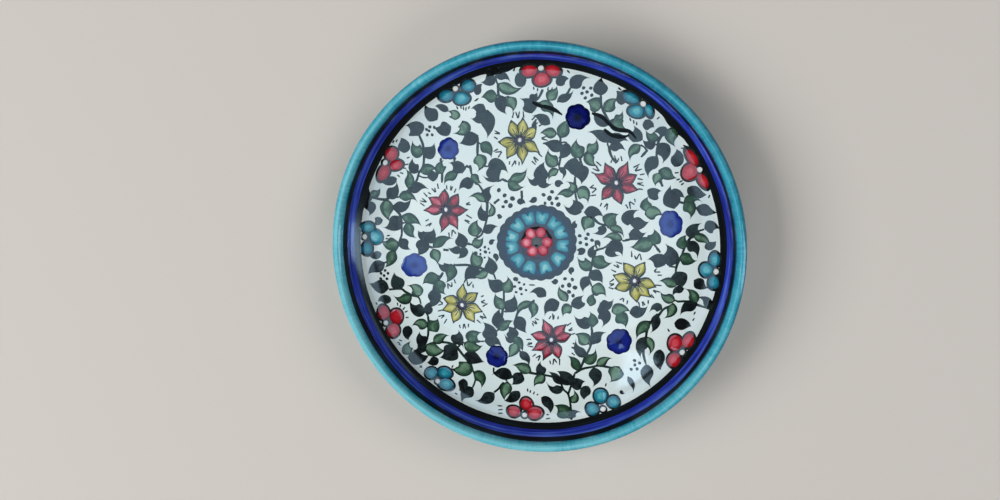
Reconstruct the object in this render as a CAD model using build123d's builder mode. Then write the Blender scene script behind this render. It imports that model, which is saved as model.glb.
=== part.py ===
from build123d import *
from math import atan2, cos, degrees, hypot, radians, sin
import os

# Hand painted ceramic plate: a thrown clay body, a glaze skin in five colours,
# and the painted flowers that lie on the white floor.
# Millimetres, +Z up. The origin is the centre of the foot ring's resting face.

# Body
PLATE_RADIUS = 80.0
PLATE_HEIGHT = 20.0
FLOOR_HEIGHT = 9.0            # top of the white glaze in the well
FLOOR_RADIUS = 69.0           # flat, painted part of the well
LIP_RADIUS = 1.9              # the rounded crest of the rim
FOOT_OUTER_RADIUS = 55.0
FOOT_INNER_RADIUS = 50.0
FOOT_CHAMFER = 0.6
RECESS_HEIGHT = 3.0           # underside of the floor inside the foot ring

# Layers
GLAZE = 0.5                   # glaze skin over the clay
PAINT = 0.15                  # one layer of painted colour over the glaze
FOOT_BARE_HEIGHT = 1.2        # the foot ring is wiped clean of glaze below this

# Colour edges up the inside of the wall: (radius, height) of the glaze surface
WHITE_EDGE = (70.8, 9.6)
LOWER_BLACK_EDGE = (73.3, 11.2)
COBALT_EDGE = (75.5, 13.9)
RIM_EDGE = (PLATE_RADIUS - 2 * LIP_RADIUS, PLATE_HEIGHT - LIP_RADIUS)

# Outside of the wall, from the crest down to the foot
WALL_TOP = (PLATE_RADIUS, PLATE_HEIGHT - LIP_RADIUS)
WALL_BOTTOM = (PLATE_RADIUS, 12.0)
BELLY_MIDDLE = (77.3, 7.0)
BELLY_BOTTOM = (70.0, 4.6)
FOOT_TOP = (56.5, 3.0)
FOOT_GLAZE_EDGE = (FOOT_OUTER_RADIUS, FOOT_BARE_HEIGHT)

# Painted design. Angles are in degrees anticlockwise from +X.
DESIGN_CENTRE = (1.3, 3.2)    # the painter's centre, a little off the axis
SCALLOPS = 24
SCALLOP_RADIUS = 1.7
GROUND_RADIUS = 13.9          # circle that the scallops stand on
PETALS = 12
PETAL_INNER_RADIUS = 7.4
PETAL_NOTCH_RADIUS = 11.4
PETAL_OUTER_RADIUS = 12.8
ROSETTE_PETALS = 6
ROSETTE_PETAL_RADIUS = 2.1
ROSETTE_RING_RADIUS = 4.3

STAR_POINTS = 8
STAR_RADIUS = 7.6
STAR_WAIST_RADIUS = 4.6
STAR_EYE_RADIUS = 1.0
COBALT_LOBES = 8
COBALT_LOBE_RADIUS = 1.4
COBALT_CORE_RADIUS = 3.2

# (angle, distance) of each flower from the design centre, as the brush left them
YELLOW_STARS = ((100, 40.4), (-20, 41.1), (-139, 40.0))
RED_STARS = ((37, 39.3), (-81, 40.2), (160, 38.6))
COBALT_FLOWERS = ((73, 51.3), (10, 52.2), (-49, 51.1), (-108, 50.1), (-168, 51.6), (134, 51.0))

# Angle of each border flower about the plate's own axis
RED_BORDER = (88, 27, -33.5, -93, -152.5, 150)
TURQUOISE_BORDER = (54.5, -4.5, -66, -126, 177, 116)
BORDER_PETAL_RADIUS = 2.6
BORDER_INNER_PETAL = 65.7     # radius from the axis to the petal that points inward
BORDER_SIDE_PETAL = 68.4
BORDER_SIDE_OFFSET = 4.6      # of the two side petals, along the rim
BORDER_LIMIT_RADIUS = 70.6    # the petals stop at the black band

os.makedirs("parts", exist_ok=True)


def mitred(before, corner, after):
    """The point GLAZE inside a corner of the surface, walked with the clay on the right."""
    normals = []
    for start, end in ((before, corner), (corner, after)):
        run, rise = end[0] - start[0], end[1] - start[1]
        normals.append((rise / hypot(run, rise), -run / hypot(run, rise)))
    (ax, ay), (bx, by) = normals
    reach = GLAZE / (1 + ax * bx + ay * by)
    return (corner[0] + (ax + bx) * reach, corner[1] + (ay + by) * reach)


def polar(centre, angle, distance):
    """A point at an angle and distance from a centre."""
    return (
        centre[0] + distance * cos(radians(angle)),
        centre[1] + distance * sin(radians(angle)),
    )


def save(part, label):
    """Names a finished piece and writes it to its own file."""
    part.label = label
    export_step(part, f"parts/{label}.step")


# Clay surface under each colour edge, one glaze thickness inside it
floor_centre = (0, FLOOR_HEIGHT)
floor_edge = (FLOOR_RADIUS, FLOOR_HEIGHT)
clay_centre = (0, FLOOR_HEIGHT - GLAZE)
clay_floor = mitred(floor_centre, floor_edge, WHITE_EDGE)
clay_white = mitred(floor_edge, WHITE_EDGE, LOWER_BLACK_EDGE)
clay_lower = mitred(WHITE_EDGE, LOWER_BLACK_EDGE, COBALT_EDGE)
clay_cobalt = mitred(LOWER_BLACK_EDGE, COBALT_EDGE, RIM_EDGE)
clay_rim = (RIM_EDGE[0] + GLAZE, RIM_EDGE[1])
crest = (PLATE_RADIUS - LIP_RADIUS, PLATE_HEIGHT)
clay_crest = (crest[0], crest[1] - GLAZE)
clay_wall_top = (WALL_TOP[0] - GLAZE, WALL_TOP[1])
clay_wall_bottom = (WALL_BOTTOM[0] - GLAZE, WALL_BOTTOM[1])
clay_belly_middle = (BELLY_MIDDLE[0] - GLAZE * 0.7, BELLY_MIDDLE[1] + GLAZE * 0.7)
clay_belly_bottom = (BELLY_BOTTOM[0], BELLY_BOTTOM[1] + GLAZE)
clay_foot_top = mitred(BELLY_BOTTOM, FOOT_TOP, FOOT_GLAZE_EDGE)
clay_foot_edge = (FOOT_GLAZE_EDGE[0] - GLAZE, FOOT_GLAZE_EDGE[1])

# Underside inside the foot ring
recess_centre = (0, RECESS_HEIGHT)
recess_edge = (FOOT_INNER_RADIUS - 1.0, RECESS_HEIGHT)
recess_glaze_edge = (FOOT_INNER_RADIUS, FOOT_BARE_HEIGHT)
clay_recess_centre = (0, RECESS_HEIGHT + GLAZE)
clay_recess_edge = (recess_edge[0], RECESS_HEIGHT + GLAZE)
clay_recess_foot = (recess_glaze_edge[0] + GLAZE, recess_glaze_edge[1])

foot_outer = clay_foot_edge[0]
foot_inner = clay_recess_foot[0]


# Clay body: the fired earthenware, with its bare foot ring
with BuildPart() as clay_body:
    with BuildSketch(Plane.XZ):
        with BuildLine():
            Polyline(clay_recess_centre, clay_centre, clay_floor, clay_white, clay_lower)
            Polyline(clay_lower, clay_cobalt, clay_rim)
            ThreePointArc(clay_rim, clay_crest, clay_wall_top)
            Line(clay_wall_top, clay_wall_bottom)
            ThreePointArc(clay_wall_bottom, clay_belly_middle, clay_belly_bottom)
            Polyline(
                clay_belly_bottom,
                clay_foot_top,
                clay_foot_edge,
                (foot_outer, FOOT_CHAMFER),
                (foot_outer - FOOT_CHAMFER, 0),
                (foot_inner + FOOT_CHAMFER, 0),
                (foot_inner, FOOT_CHAMFER),
                clay_recess_foot,
                clay_recess_edge,
                clay_recess_centre,
            )
        make_face()
    revolve(axis=Axis.Z)
save(clay_body.part, "clay_body")


def revolved_band(outline):
    """A ring of glaze whose section is a closed run of straight edges."""
    with BuildPart() as band:
        with BuildSketch(Plane.XZ):
            with BuildLine():
                Polyline(*outline, close=True)
            make_face()
        revolve(axis=Axis.Z)
    return band.part


# Glaze on the inside: white floor, then black, cobalt and black bands up the wall
save(
    revolved_band((clay_centre, clay_floor, clay_white, WHITE_EDGE, floor_edge, floor_centre)),
    "floor_glaze",
)
save(
    revolved_band((clay_white, clay_lower, LOWER_BLACK_EDGE, WHITE_EDGE)),
    "lower_black_band",
)
save(
    revolved_band((clay_lower, clay_cobalt, COBALT_EDGE, LOWER_BLACK_EDGE)),
    "cobalt_band",
)
save(
    revolved_band((clay_cobalt, clay_rim, RIM_EDGE, COBALT_EDGE)),
    "upper_black_band",
)

# Turquoise glaze rolled over the crest of the rim
with BuildPart() as rim_glaze:
    with BuildSketch(Plane.XZ):
        with BuildLine():
            ThreePointArc(RIM_EDGE, crest, WALL_TOP)
            Line(WALL_TOP, clay_wall_top)
            ThreePointArc(clay_wall_top, clay_crest, clay_rim)
            Line(clay_rim, RIM_EDGE)
        make_face()
    revolve(axis=Axis.Z)
save(rim_glaze.part, "rim_glaze")

# Turquoise glaze down the outside of the wall to the foot
with BuildPart() as outer_wall_glaze:
    with BuildSketch(Plane.XZ):
        with BuildLine():
            Line(WALL_TOP, WALL_BOTTOM)
            ThreePointArc(WALL_BOTTOM, BELLY_MIDDLE, BELLY_BOTTOM)
            Polyline(BELLY_BOTTOM, FOOT_TOP, FOOT_GLAZE_EDGE, clay_foot_edge, clay_foot_top)
            Line(clay_foot_top, clay_belly_bottom)
            ThreePointArc(clay_belly_bottom, clay_belly_middle, clay_wall_bottom)
            Polyline(clay_wall_bottom, clay_wall_top, WALL_TOP)
        make_face()
    revolve(axis=Axis.Z)
save(outer_wall_glaze.part, "outer_wall_glaze")

# Clear glaze on the underside, inside the foot ring
save(
    revolved_band(
        (
            recess_centre,
            recess_edge,
            recess_glaze_edge,
            clay_recess_foot,
            clay_recess_edge,
            clay_recess_centre,
        )
    ),
    "base_glaze",
)

# Medallion: a scalloped black ground that carries two rings of petals
paint_top = FLOOR_HEIGHT + PAINT
with BuildPart() as medallion_ground:
    with BuildSketch(Plane.XY.offset(FLOOR_HEIGHT)):
        with Locations(DESIGN_CENTRE):
            Circle(GROUND_RADIUS)
            with PolarLocations(GROUND_RADIUS, SCALLOPS):
                Circle(SCALLOP_RADIUS)
    extrude(amount=PAINT)
save(medallion_ground.part, "medallion_ground")

with BuildPart() as medallion_petals:
    half_step = 180 / PETALS
    with BuildSketch(Plane.XY.offset(paint_top)):
        for petal in range(PETALS):
            middle = petal * 2 * half_step + 90
            with BuildLine():
                Polyline(
                    polar(DESIGN_CENTRE, middle - half_step * 0.45, PETAL_INNER_RADIUS),
                    polar(DESIGN_CENTRE, middle - half_step * 0.80, PETAL_OUTER_RADIUS),
                    polar(DESIGN_CENTRE, middle, PETAL_NOTCH_RADIUS),
                    polar(DESIGN_CENTRE, middle + half_step * 0.80, PETAL_OUTER_RADIUS),
                    polar(DESIGN_CENTRE, middle + half_step * 0.45, PETAL_INNER_RADIUS),
                    close=True,
                )
            make_face()
    extrude(amount=PAINT)
save(medallion_petals.part, "medallion_petals")

with BuildPart() as medallion_rosette:
    with BuildSketch(Plane.XY.offset(paint_top)):
        with Locations(DESIGN_CENTRE):
            with PolarLocations(ROSETTE_RING_RADIUS, ROSETTE_PETALS):
                Circle(ROSETTE_PETAL_RADIUS)
    extrude(amount=PAINT)
save(medallion_rosette.part, "medallion_rosette")


def star_flowers(places):
    """Pointed star flowers with an open white eye, one for each place."""
    with BuildPart() as flowers:
        with BuildSketch(Plane.XY.offset(FLOOR_HEIGHT)):
            for angle, distance in places:
                centre = polar(DESIGN_CENTRE, angle, distance)
                outline = []
                for point in range(STAR_POINTS):
                    turn = angle + point * 360 / STAR_POINTS
                    outline.append(polar(centre, turn, STAR_RADIUS))
                    outline.append(polar(centre, turn + 180 / STAR_POINTS, STAR_WAIST_RADIUS))
                with BuildLine():
                    Polyline(*outline, close=True)
                make_face()
                with Locations(centre):
                    Circle(STAR_EYE_RADIUS, mode=Mode.SUBTRACT)
        extrude(amount=PAINT)
    return flowers.part


save(star_flowers(YELLOW_STARS), "yellow_star_flowers")
save(star_flowers(RED_STARS), "red_star_flowers")

# Thick round cobalt flowers between the stars
with BuildPart() as cobalt_flowers:
    with BuildSketch(Plane.XY.offset(FLOOR_HEIGHT)):
        for angle, distance in COBALT_FLOWERS:
            with Locations(polar(DESIGN_CENTRE, angle, distance)):
                Circle(COBALT_CORE_RADIUS)
                with PolarLocations(COBALT_CORE_RADIUS, COBALT_LOBES):
                    Circle(COBALT_LOBE_RADIUS)
    extrude(amount=PAINT)
save(cobalt_flowers.part, "cobalt_flowers")


def border_flowers(angles):
    """Three round petals against the black band, laid on the floor and its rising edge."""
    petals = (
        (BORDER_INNER_PETAL, 0),
        (BORDER_SIDE_PETAL, BORDER_SIDE_OFFSET),
        (BORDER_SIDE_PETAL, -BORDER_SIDE_OFFSET),
    )
    with BuildPart() as flowers:
        with BuildSketch(Plane.XY.offset(FLOOR_HEIGHT - GLAZE)):
            for angle in angles:
                for outward, sideways in petals:
                    turn = angle + degrees(atan2(sideways, outward))
                    with Locations(polar((0, 0), turn, hypot(outward, sideways))):
                        Circle(BORDER_PETAL_RADIUS)
            Circle(BORDER_LIMIT_RADIUS, mode=Mode.INTERSECT)
        extrude(amount=3 * GLAZE)
        with BuildSketch(Plane.XZ):
            with BuildLine():
                rising = (
                    (0, FLOOR_HEIGHT),
                    floor_edge,
                    WHITE_EDGE,
                    (WHITE_EDGE[0], WHITE_EDGE[1] + PAINT),
                    (FLOOR_RADIUS, FLOOR_HEIGHT + PAINT),
                    (0, FLOOR_HEIGHT + PAINT),
                )
                Polyline(*rising, close=True)
            make_face()
        revolve(axis=Axis.Z, mode=Mode.INTERSECT)
    return flowers.part


save(border_flowers(RED_BORDER), "red_border_flowers")
save(border_flowers(TURQUOISE_BORDER), "turquoise_border_flowers")
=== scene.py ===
# Looks of the hand painted ceramic plate: glaze, bands and brush painting
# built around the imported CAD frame.
import math
import random

import bmesh
import bpy
import numpy as np
from mathutils import Matrix, Vector


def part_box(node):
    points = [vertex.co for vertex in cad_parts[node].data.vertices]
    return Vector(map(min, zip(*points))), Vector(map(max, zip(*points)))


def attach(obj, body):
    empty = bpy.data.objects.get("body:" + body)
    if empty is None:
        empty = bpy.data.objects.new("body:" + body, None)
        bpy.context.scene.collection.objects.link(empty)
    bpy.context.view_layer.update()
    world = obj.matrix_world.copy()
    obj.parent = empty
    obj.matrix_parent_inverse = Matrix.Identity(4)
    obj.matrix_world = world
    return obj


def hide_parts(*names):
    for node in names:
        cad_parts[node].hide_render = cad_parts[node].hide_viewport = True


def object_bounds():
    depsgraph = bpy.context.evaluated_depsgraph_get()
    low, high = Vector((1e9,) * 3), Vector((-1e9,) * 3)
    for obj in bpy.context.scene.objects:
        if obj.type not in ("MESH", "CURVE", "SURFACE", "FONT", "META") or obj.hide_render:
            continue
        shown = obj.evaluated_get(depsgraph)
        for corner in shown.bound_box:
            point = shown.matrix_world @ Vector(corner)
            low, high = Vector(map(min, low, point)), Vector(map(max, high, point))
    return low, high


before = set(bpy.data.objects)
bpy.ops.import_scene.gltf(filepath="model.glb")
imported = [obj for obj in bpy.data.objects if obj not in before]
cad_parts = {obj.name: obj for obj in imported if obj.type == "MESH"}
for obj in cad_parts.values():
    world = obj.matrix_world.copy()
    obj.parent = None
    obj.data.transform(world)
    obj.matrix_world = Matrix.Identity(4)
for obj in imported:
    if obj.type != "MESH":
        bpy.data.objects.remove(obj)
cad_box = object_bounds()

MM = 0.001
rng = random.Random(16)

# ---------------------------------------------------------------- sizes, mm
PLATE_RADIUS = cad_box[1][0] / MM
PLATE_HEIGHT = cad_box[1][2] / MM
medallion_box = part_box("medallion_ground")
FLOOR_HEIGHT = medallion_box[0][2] / MM
CENTRE = tuple((low + high) / 2 / MM for low, high in zip(*medallion_box))[:2]
LIP_RADIUS = 1.9
# Thickness of the glaze, and how deep under its face the clay starts: a little less,
# so that no gap shows.
GLAZE, CLAY_DEPTH = 0.5, 0.4
# Height of the glazed recess inside the foot ring.
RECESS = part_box("base_glaze")[1][2] / MM - GLAZE

# Section of the glaze surface as (radius, height): the inside, from the middle of
# the floor up to the rim, and the outside, from below the rim down to the foot.
INNER_SECTION = (
    (0, FLOOR_HEIGHT),
    (20, FLOOR_HEIGHT),
    (45, FLOOR_HEIGHT),
    (62, FLOOR_HEIGHT),
    (67, FLOOR_HEIGHT + 0.04),
    (69.4, FLOOR_HEIGHT + 0.2),
    (70.8, FLOOR_HEIGHT + 0.6),
    (73.3, FLOOR_HEIGHT + 2.2),
    (75.1, FLOOR_HEIGHT + 4.4),
    (75.8, FLOOR_HEIGHT + 6.6),
    (76.2, PLATE_HEIGHT - LIP_RADIUS),
)
OUTER_SECTION = (
    (PLATE_RADIUS, PLATE_HEIGHT - LIP_RADIUS),
    (PLATE_RADIUS - 0.05, 15.0),
    (PLATE_RADIUS - 0.05, 12.0),
    (77.3, 7.0),
    (70.0, 4.6),
    (60.0, 3.4),
    (56.0, 2.6),
    (55.0, 1.2),
)
# Radii at which the white, the lower black and the cobalt end on the inside.
WHITE_EDGE, BLACK_EDGE, COBALT_EDGE = 71.2, 73.5, 75.45
# How far the turquoise comes down inside the crest.
TURQUOISE_REACH = 0.8
# Radii between which the floor curves up into the wall.
COVE = (67.5, 71.5)
# How far the wall is out of round and its rim out of level.
OUT_OF_ROUND, OUT_OF_LEVEL = 0.12, 0.10


# ------------------------------------------------------------ curve helpers
def spline(points, steps=8):
    """A smooth line through given points, as an array of finer points."""
    placed = np.array(points, float)
    ends = np.vstack([2 * placed[0] - placed[1], placed, 2 * placed[-1] - placed[-2]])
    share = np.linspace(0, 1, steps, endpoint=False)[:, None]
    stretches = []
    for before, start, end, after in zip(ends, ends[1:], ends[2:], ends[3:]):
        slope = end - before
        bend = 2 * before - 5 * start + 4 * end - after
        twist = 3 * start - before - 3 * end + after
        stretches.append(0.5 * (2 * start + slope * share + bend * share**2 + twist * share**3))
    return np.vstack(stretches + [placed[-1:]])


def arc_length(points):
    """Distance along a line at each of its points."""
    return np.concatenate([[0], np.cumsum(np.linalg.norm(np.diff(points, axis=0), axis=1))])


def waves(angle, seed, size):
    """An uneven round-and-back wave, as a hand on a turning wheel leaves."""
    chance = random.Random(seed)
    total = 0
    for turns in (2, 3, 5, 8, 13, 21):
        total = total + np.sin(turns * angle + chance.uniform(0, 2 * math.pi)) / turns**0.7
    return total * size / 2


def unit(angle):
    """Unit vector at an angle in degrees."""
    return np.array((math.cos(math.radians(angle)), math.sin(math.radians(angle))))


def left_of(line, at):
    """Unit vectors to the left of a line at each of its points."""
    ahead = np.gradient(line, at, axis=0)
    left = np.column_stack((-ahead[:, 1], ahead[:, 0]))
    return left / np.linalg.norm(left, axis=1)[:, None]


# ------------------------------------------------------------ glaze surface
crest_turn = np.linspace(math.pi, 0, 33)
crest = np.column_stack(
    (
        PLATE_RADIUS - LIP_RADIUS + LIP_RADIUS * np.cos(crest_turn),
        PLATE_HEIGHT - LIP_RADIUS + LIP_RADIUS * np.sin(crest_turn),
    )
)
inner = spline(INNER_SECTION, 12)
outer = spline(OUTER_SECTION, 10)
SURFACE = np.vstack([inner[:-1], crest, outer[1:]])
SURFACE_AT = arc_length(SURFACE)
SURFACE_INWARD = -left_of(SURFACE, SURFACE_AT)
RIM_START = arc_length(inner)[-1]
RIM_END = RIM_START + math.pi * LIP_RADIUS


def lean(angle, radius):
    """How far the wall stands out and up where the plate isn't quite round."""
    weight = (radius / PLATE_RADIUS) ** 6
    return waves(angle, 5, OUT_OF_ROUND) * weight, waves(angle, 9, OUT_OF_LEVEL) * weight


def glaze_height(x, y):
    """Height of the glaze under a painted point of the floor."""
    radius = np.hypot(x, y)
    out, up = lean(np.arctan2(y, x), radius)
    return np.interp(radius - out, inner[:, 0], inner[:, 1]) + up


def on_cove(x, y):
    """How far a painted point is up the cove: 0 on the flat floor, 1 on the wall."""
    return np.interp(np.hypot(x, y), COVE, (0, 1))


def along_surface(radius):
    """Distance along the section where the inside reaches a radius."""
    return float(np.interp(radius, inner[:, 0], arc_length(inner)))


# ------------------------------------------------------------ mesh building
SHARP = math.radians(35)
ON_AXIS = 1e-6


def new_object(name, vertices, faces, material):
    """A mesh object from points in millimetres."""
    mesh = bpy.data.meshes.new(name)
    mesh.from_pydata([tuple(v) for v in np.asarray(vertices) * MM], [], faces)
    mesh.validate()
    mesh.shade_smooth()
    mesh.set_sharp_from_angle(angle=SHARP)
    mesh.materials.append(material)
    piece = bpy.data.objects.new(name, mesh)
    bpy.context.collection.objects.link(piece)
    return piece


def lathe(name, section, material, segments=540):
    """Turns a closed section, given for each angle, round the plate's axis."""
    rings = []
    for angle in np.linspace(0, 2 * math.pi, segments, endpoint=False):
        points = section(angle)
        out, up = lean(angle, points[:, 0])
        radius = points[:, 0] + out * (points[:, 0] > 0)
        rings.append(
            np.column_stack((radius * math.cos(angle), radius * math.sin(angle), points[:, 1] + up))
        )
    rings = np.array(rings)
    count = rings.shape[1]
    on_axis = np.flatnonzero(section(0.0)[:, 0] < ON_AXIS).tolist()
    vertices = list(rings.reshape(-1, 3))
    poles = {point: len(vertices) + n for n, point in enumerate(on_axis)}
    vertices += [rings[0, point] for point in on_axis]

    def index(segment, point):
        return poles.get(point, (segment % segments) * count + point)

    faces = []
    for segment in range(segments):
        for point in range(count):
            following = (point + 1) % count
            if point in poles and following in poles:
                continue
            corners = (
                index(segment, point),
                index(segment + 1, point),
                index(segment + 1, following),
                index(segment, following),
            )
            faces.append(tuple(dict.fromkeys(corners)))
    piece = new_object(name, vertices, faces, material)
    remove_loose(piece.data)
    return piece


def remove_loose(mesh):
    """Drops points that no face uses, and turns every face outward."""
    work = bmesh.new()
    work.from_mesh(mesh)
    bmesh.ops.delete(work, geom=[v for v in work.verts if not v.link_faces], context="VERTS")
    bmesh.ops.recalc_face_normals(work, faces=work.faces)
    work.to_mesh(mesh)
    work.free()


# Share of its depth that glaze keeps over its last points, where it runs out.
THINNING = (0.9, 0.7, 0.3)


def skin(name, start, end, material, points=12, thin_end=False):
    """A ring of glaze between two colour edges, each a function of the angle."""

    def section(angle):
        at = np.linspace(start(angle), end(angle), points)
        top = np.column_stack([np.interp(at, SURFACE_AT, SURFACE[:, k]) for k in (0, 1)])
        into = np.column_stack([np.interp(at, SURFACE_AT, SURFACE_INWARD[:, k]) for k in (0, 1)])
        thick = np.full(points, GLAZE)
        if thin_end:
            thick[-len(THINNING) :] *= THINNING
        under = top + into * thick[:, None]
        under[:, 0] = np.where(top[:, 0] < ON_AXIS, 0, under[:, 0])
        return np.vstack([top, under[::-1]])

    return lathe(name, section, material)


# How far the underside of paint lies below the glaze, how much further both sides
# of it reach on the cove, and how much strokes differ so that no two are level.
SUNK, COVE_LIFT, UNEVEN = 0.04, 0.08, 0.006


class Paint:
    """Gathers thin slabs of colour, laid on the glaze, into one mesh."""

    def __init__(self, name, material):
        self.name = name
        self.material = material
        self.vertices = []
        self.faces = []
        self.values = {"edge": [], "tone": []}

    def _points(self, flat, lift, edge, tone):
        """Adds points and says where they start."""
        first = len(self.vertices)
        x, y = flat.T
        height = glaze_height(x, y) + lift + np.sign(lift) * COVE_LIFT * on_cove(x, y)
        self.vertices += list(np.column_stack((flat, height)))
        for key, value in (("edge", edge), ("tone", tone)):
            self.values[key] += list(np.broadcast_to(value, len(flat)))
        return first

    def _both_sides(self, top, base, quad):
        """A face of the top and, turned over, the one below it."""
        self.faces.append(tuple(top + k for k in quad))
        self.faces.append(tuple(base + k for k in reversed(quad)))

    def patch(self, rows, lift, dome=0.0, tone=None):
        """A slab whose top is a grid of points: rows along, columns across."""
        rows = np.asarray(rows, float)
        long, wide = rows.shape[:2]
        tone = rng.random() if tone is None else tone
        lift = lift + rng.uniform(0, UNEVEN)
        across = np.abs(np.linspace(-1, 1, wide))
        edge = np.broadcast_to(across, (long, wide)).ravel()
        along = np.repeat(np.linspace(0, 1, long), wide)
        ends = np.minimum(1, np.minimum(along, 1 - along) * 6)
        rise = dome * np.sqrt(np.clip(1 - edge**2, 0, 1)) * np.sqrt(ends)
        flat = rows.reshape(-1, 2)
        top = self._points(flat, lift + rise, edge, tone)
        rim = list(range(wide))
        rim += [row * wide + wide - 1 for row in range(1, long)]
        rim += [(long - 1) * wide + column for column in range(wide - 2, -1, -1)]
        rim += [row * wide for row in range(long - 2, 0, -1)]
        base = self._points(flat, -SUNK, edge, tone)
        for row in range(long - 1):
            for here in range(row * wide, row * wide + wide - 1):
                self._both_sides(top, base, (here, here + 1, here + wide + 1, here + wide))
        for here, following in zip(rim, rim[1:] + rim[:1]):
            self.faces.append((top + following, top + here, base + here, base + following))

    def disc(self, centre, outline, lift, dome=0.0, tone=None, rings=6):
        """A slab with a star shaped outline round its centre."""
        centre = np.asarray(centre, float)
        outline = np.asarray(outline, float)
        tone = rng.random() if tone is None else tone
        lift = lift + rng.uniform(0, UNEVEN)
        count = len(outline)
        share = np.linspace(0, 1, rings + 1)[1:] ** 0.7
        flat = np.vstack([centre + (outline - centre) * s for s in share])
        edge = np.repeat(share, count)
        rise = dome * np.sqrt(np.clip(1 - edge**2, 0, 1))
        top = self._points(flat, lift + rise, edge, tone)
        middle = self._points(centre[None], lift + dome, 0.0, tone)
        base = self._points(flat, -SUNK, edge, tone)
        under = self._points(centre[None], -SUNK, 0.0, tone)
        rim = (rings - 1) * count
        for here in range(count):
            after = (here + 1) % count
            self.faces.append((middle, top + here, top + after))
            self.faces.append((under, base + after, base + here))
            for ring in range(0, rim, count):
                wider = ring + count
                quad = (ring + here, wider + here, wider + after, ring + after)
                self._both_sides(top, base, quad)
            low, high = base + rim, top + rim
            self.faces.append((high + here, low + here, low + after, high + after))

    def stroke(self, points, width, lift, ends=(0.5, 0.3)):
        """A brush line through given points that thins out at its ends."""
        bent = len(points) > 2
        line = spline(points, 6) if bent else np.linspace(*np.array(points, float), 6)
        at = arc_length(line)
        side = left_of(line, at)
        share = at / at[-1]
        swell = np.interp(share, (0, 0.2, 0.75, 1), (ends[0], 1, 0.9, ends[1]))
        swell = swell * (1 + 0.12 * np.sin(share * 9 + rng.uniform(0, 6)))
        half = (swell * width / 2)[:, None]
        self.patch(np.stack((line + side * half, line, line - side * half), axis=1), lift)

    def finish(self, slot, *nodes):
        """Makes the object and hides the CAD nodes that it stands for; the slot is not used."""
        piece = new_object(self.name, self.vertices, self.faces, self.material)
        for key, value in self.values.items():
            layer = piece.data.attributes.new(key, "FLOAT", "POINT")
            layer.data.foreach_set("value", np.array(value, np.float32))
        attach(piece, "root")
        if nodes:
            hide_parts(*nodes)


# --------------------------------------------------------------- materials
def rgb(red, green, blue):
    """A shader colour from 0 to 255 screen values."""

    def linear(value):
        value /= 255
        return value / 12.92 if value <= 0.04045 else ((value + 0.055) / 1.055) ** 2.4

    return linear(red), linear(green), linear(blue), 1


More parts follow.
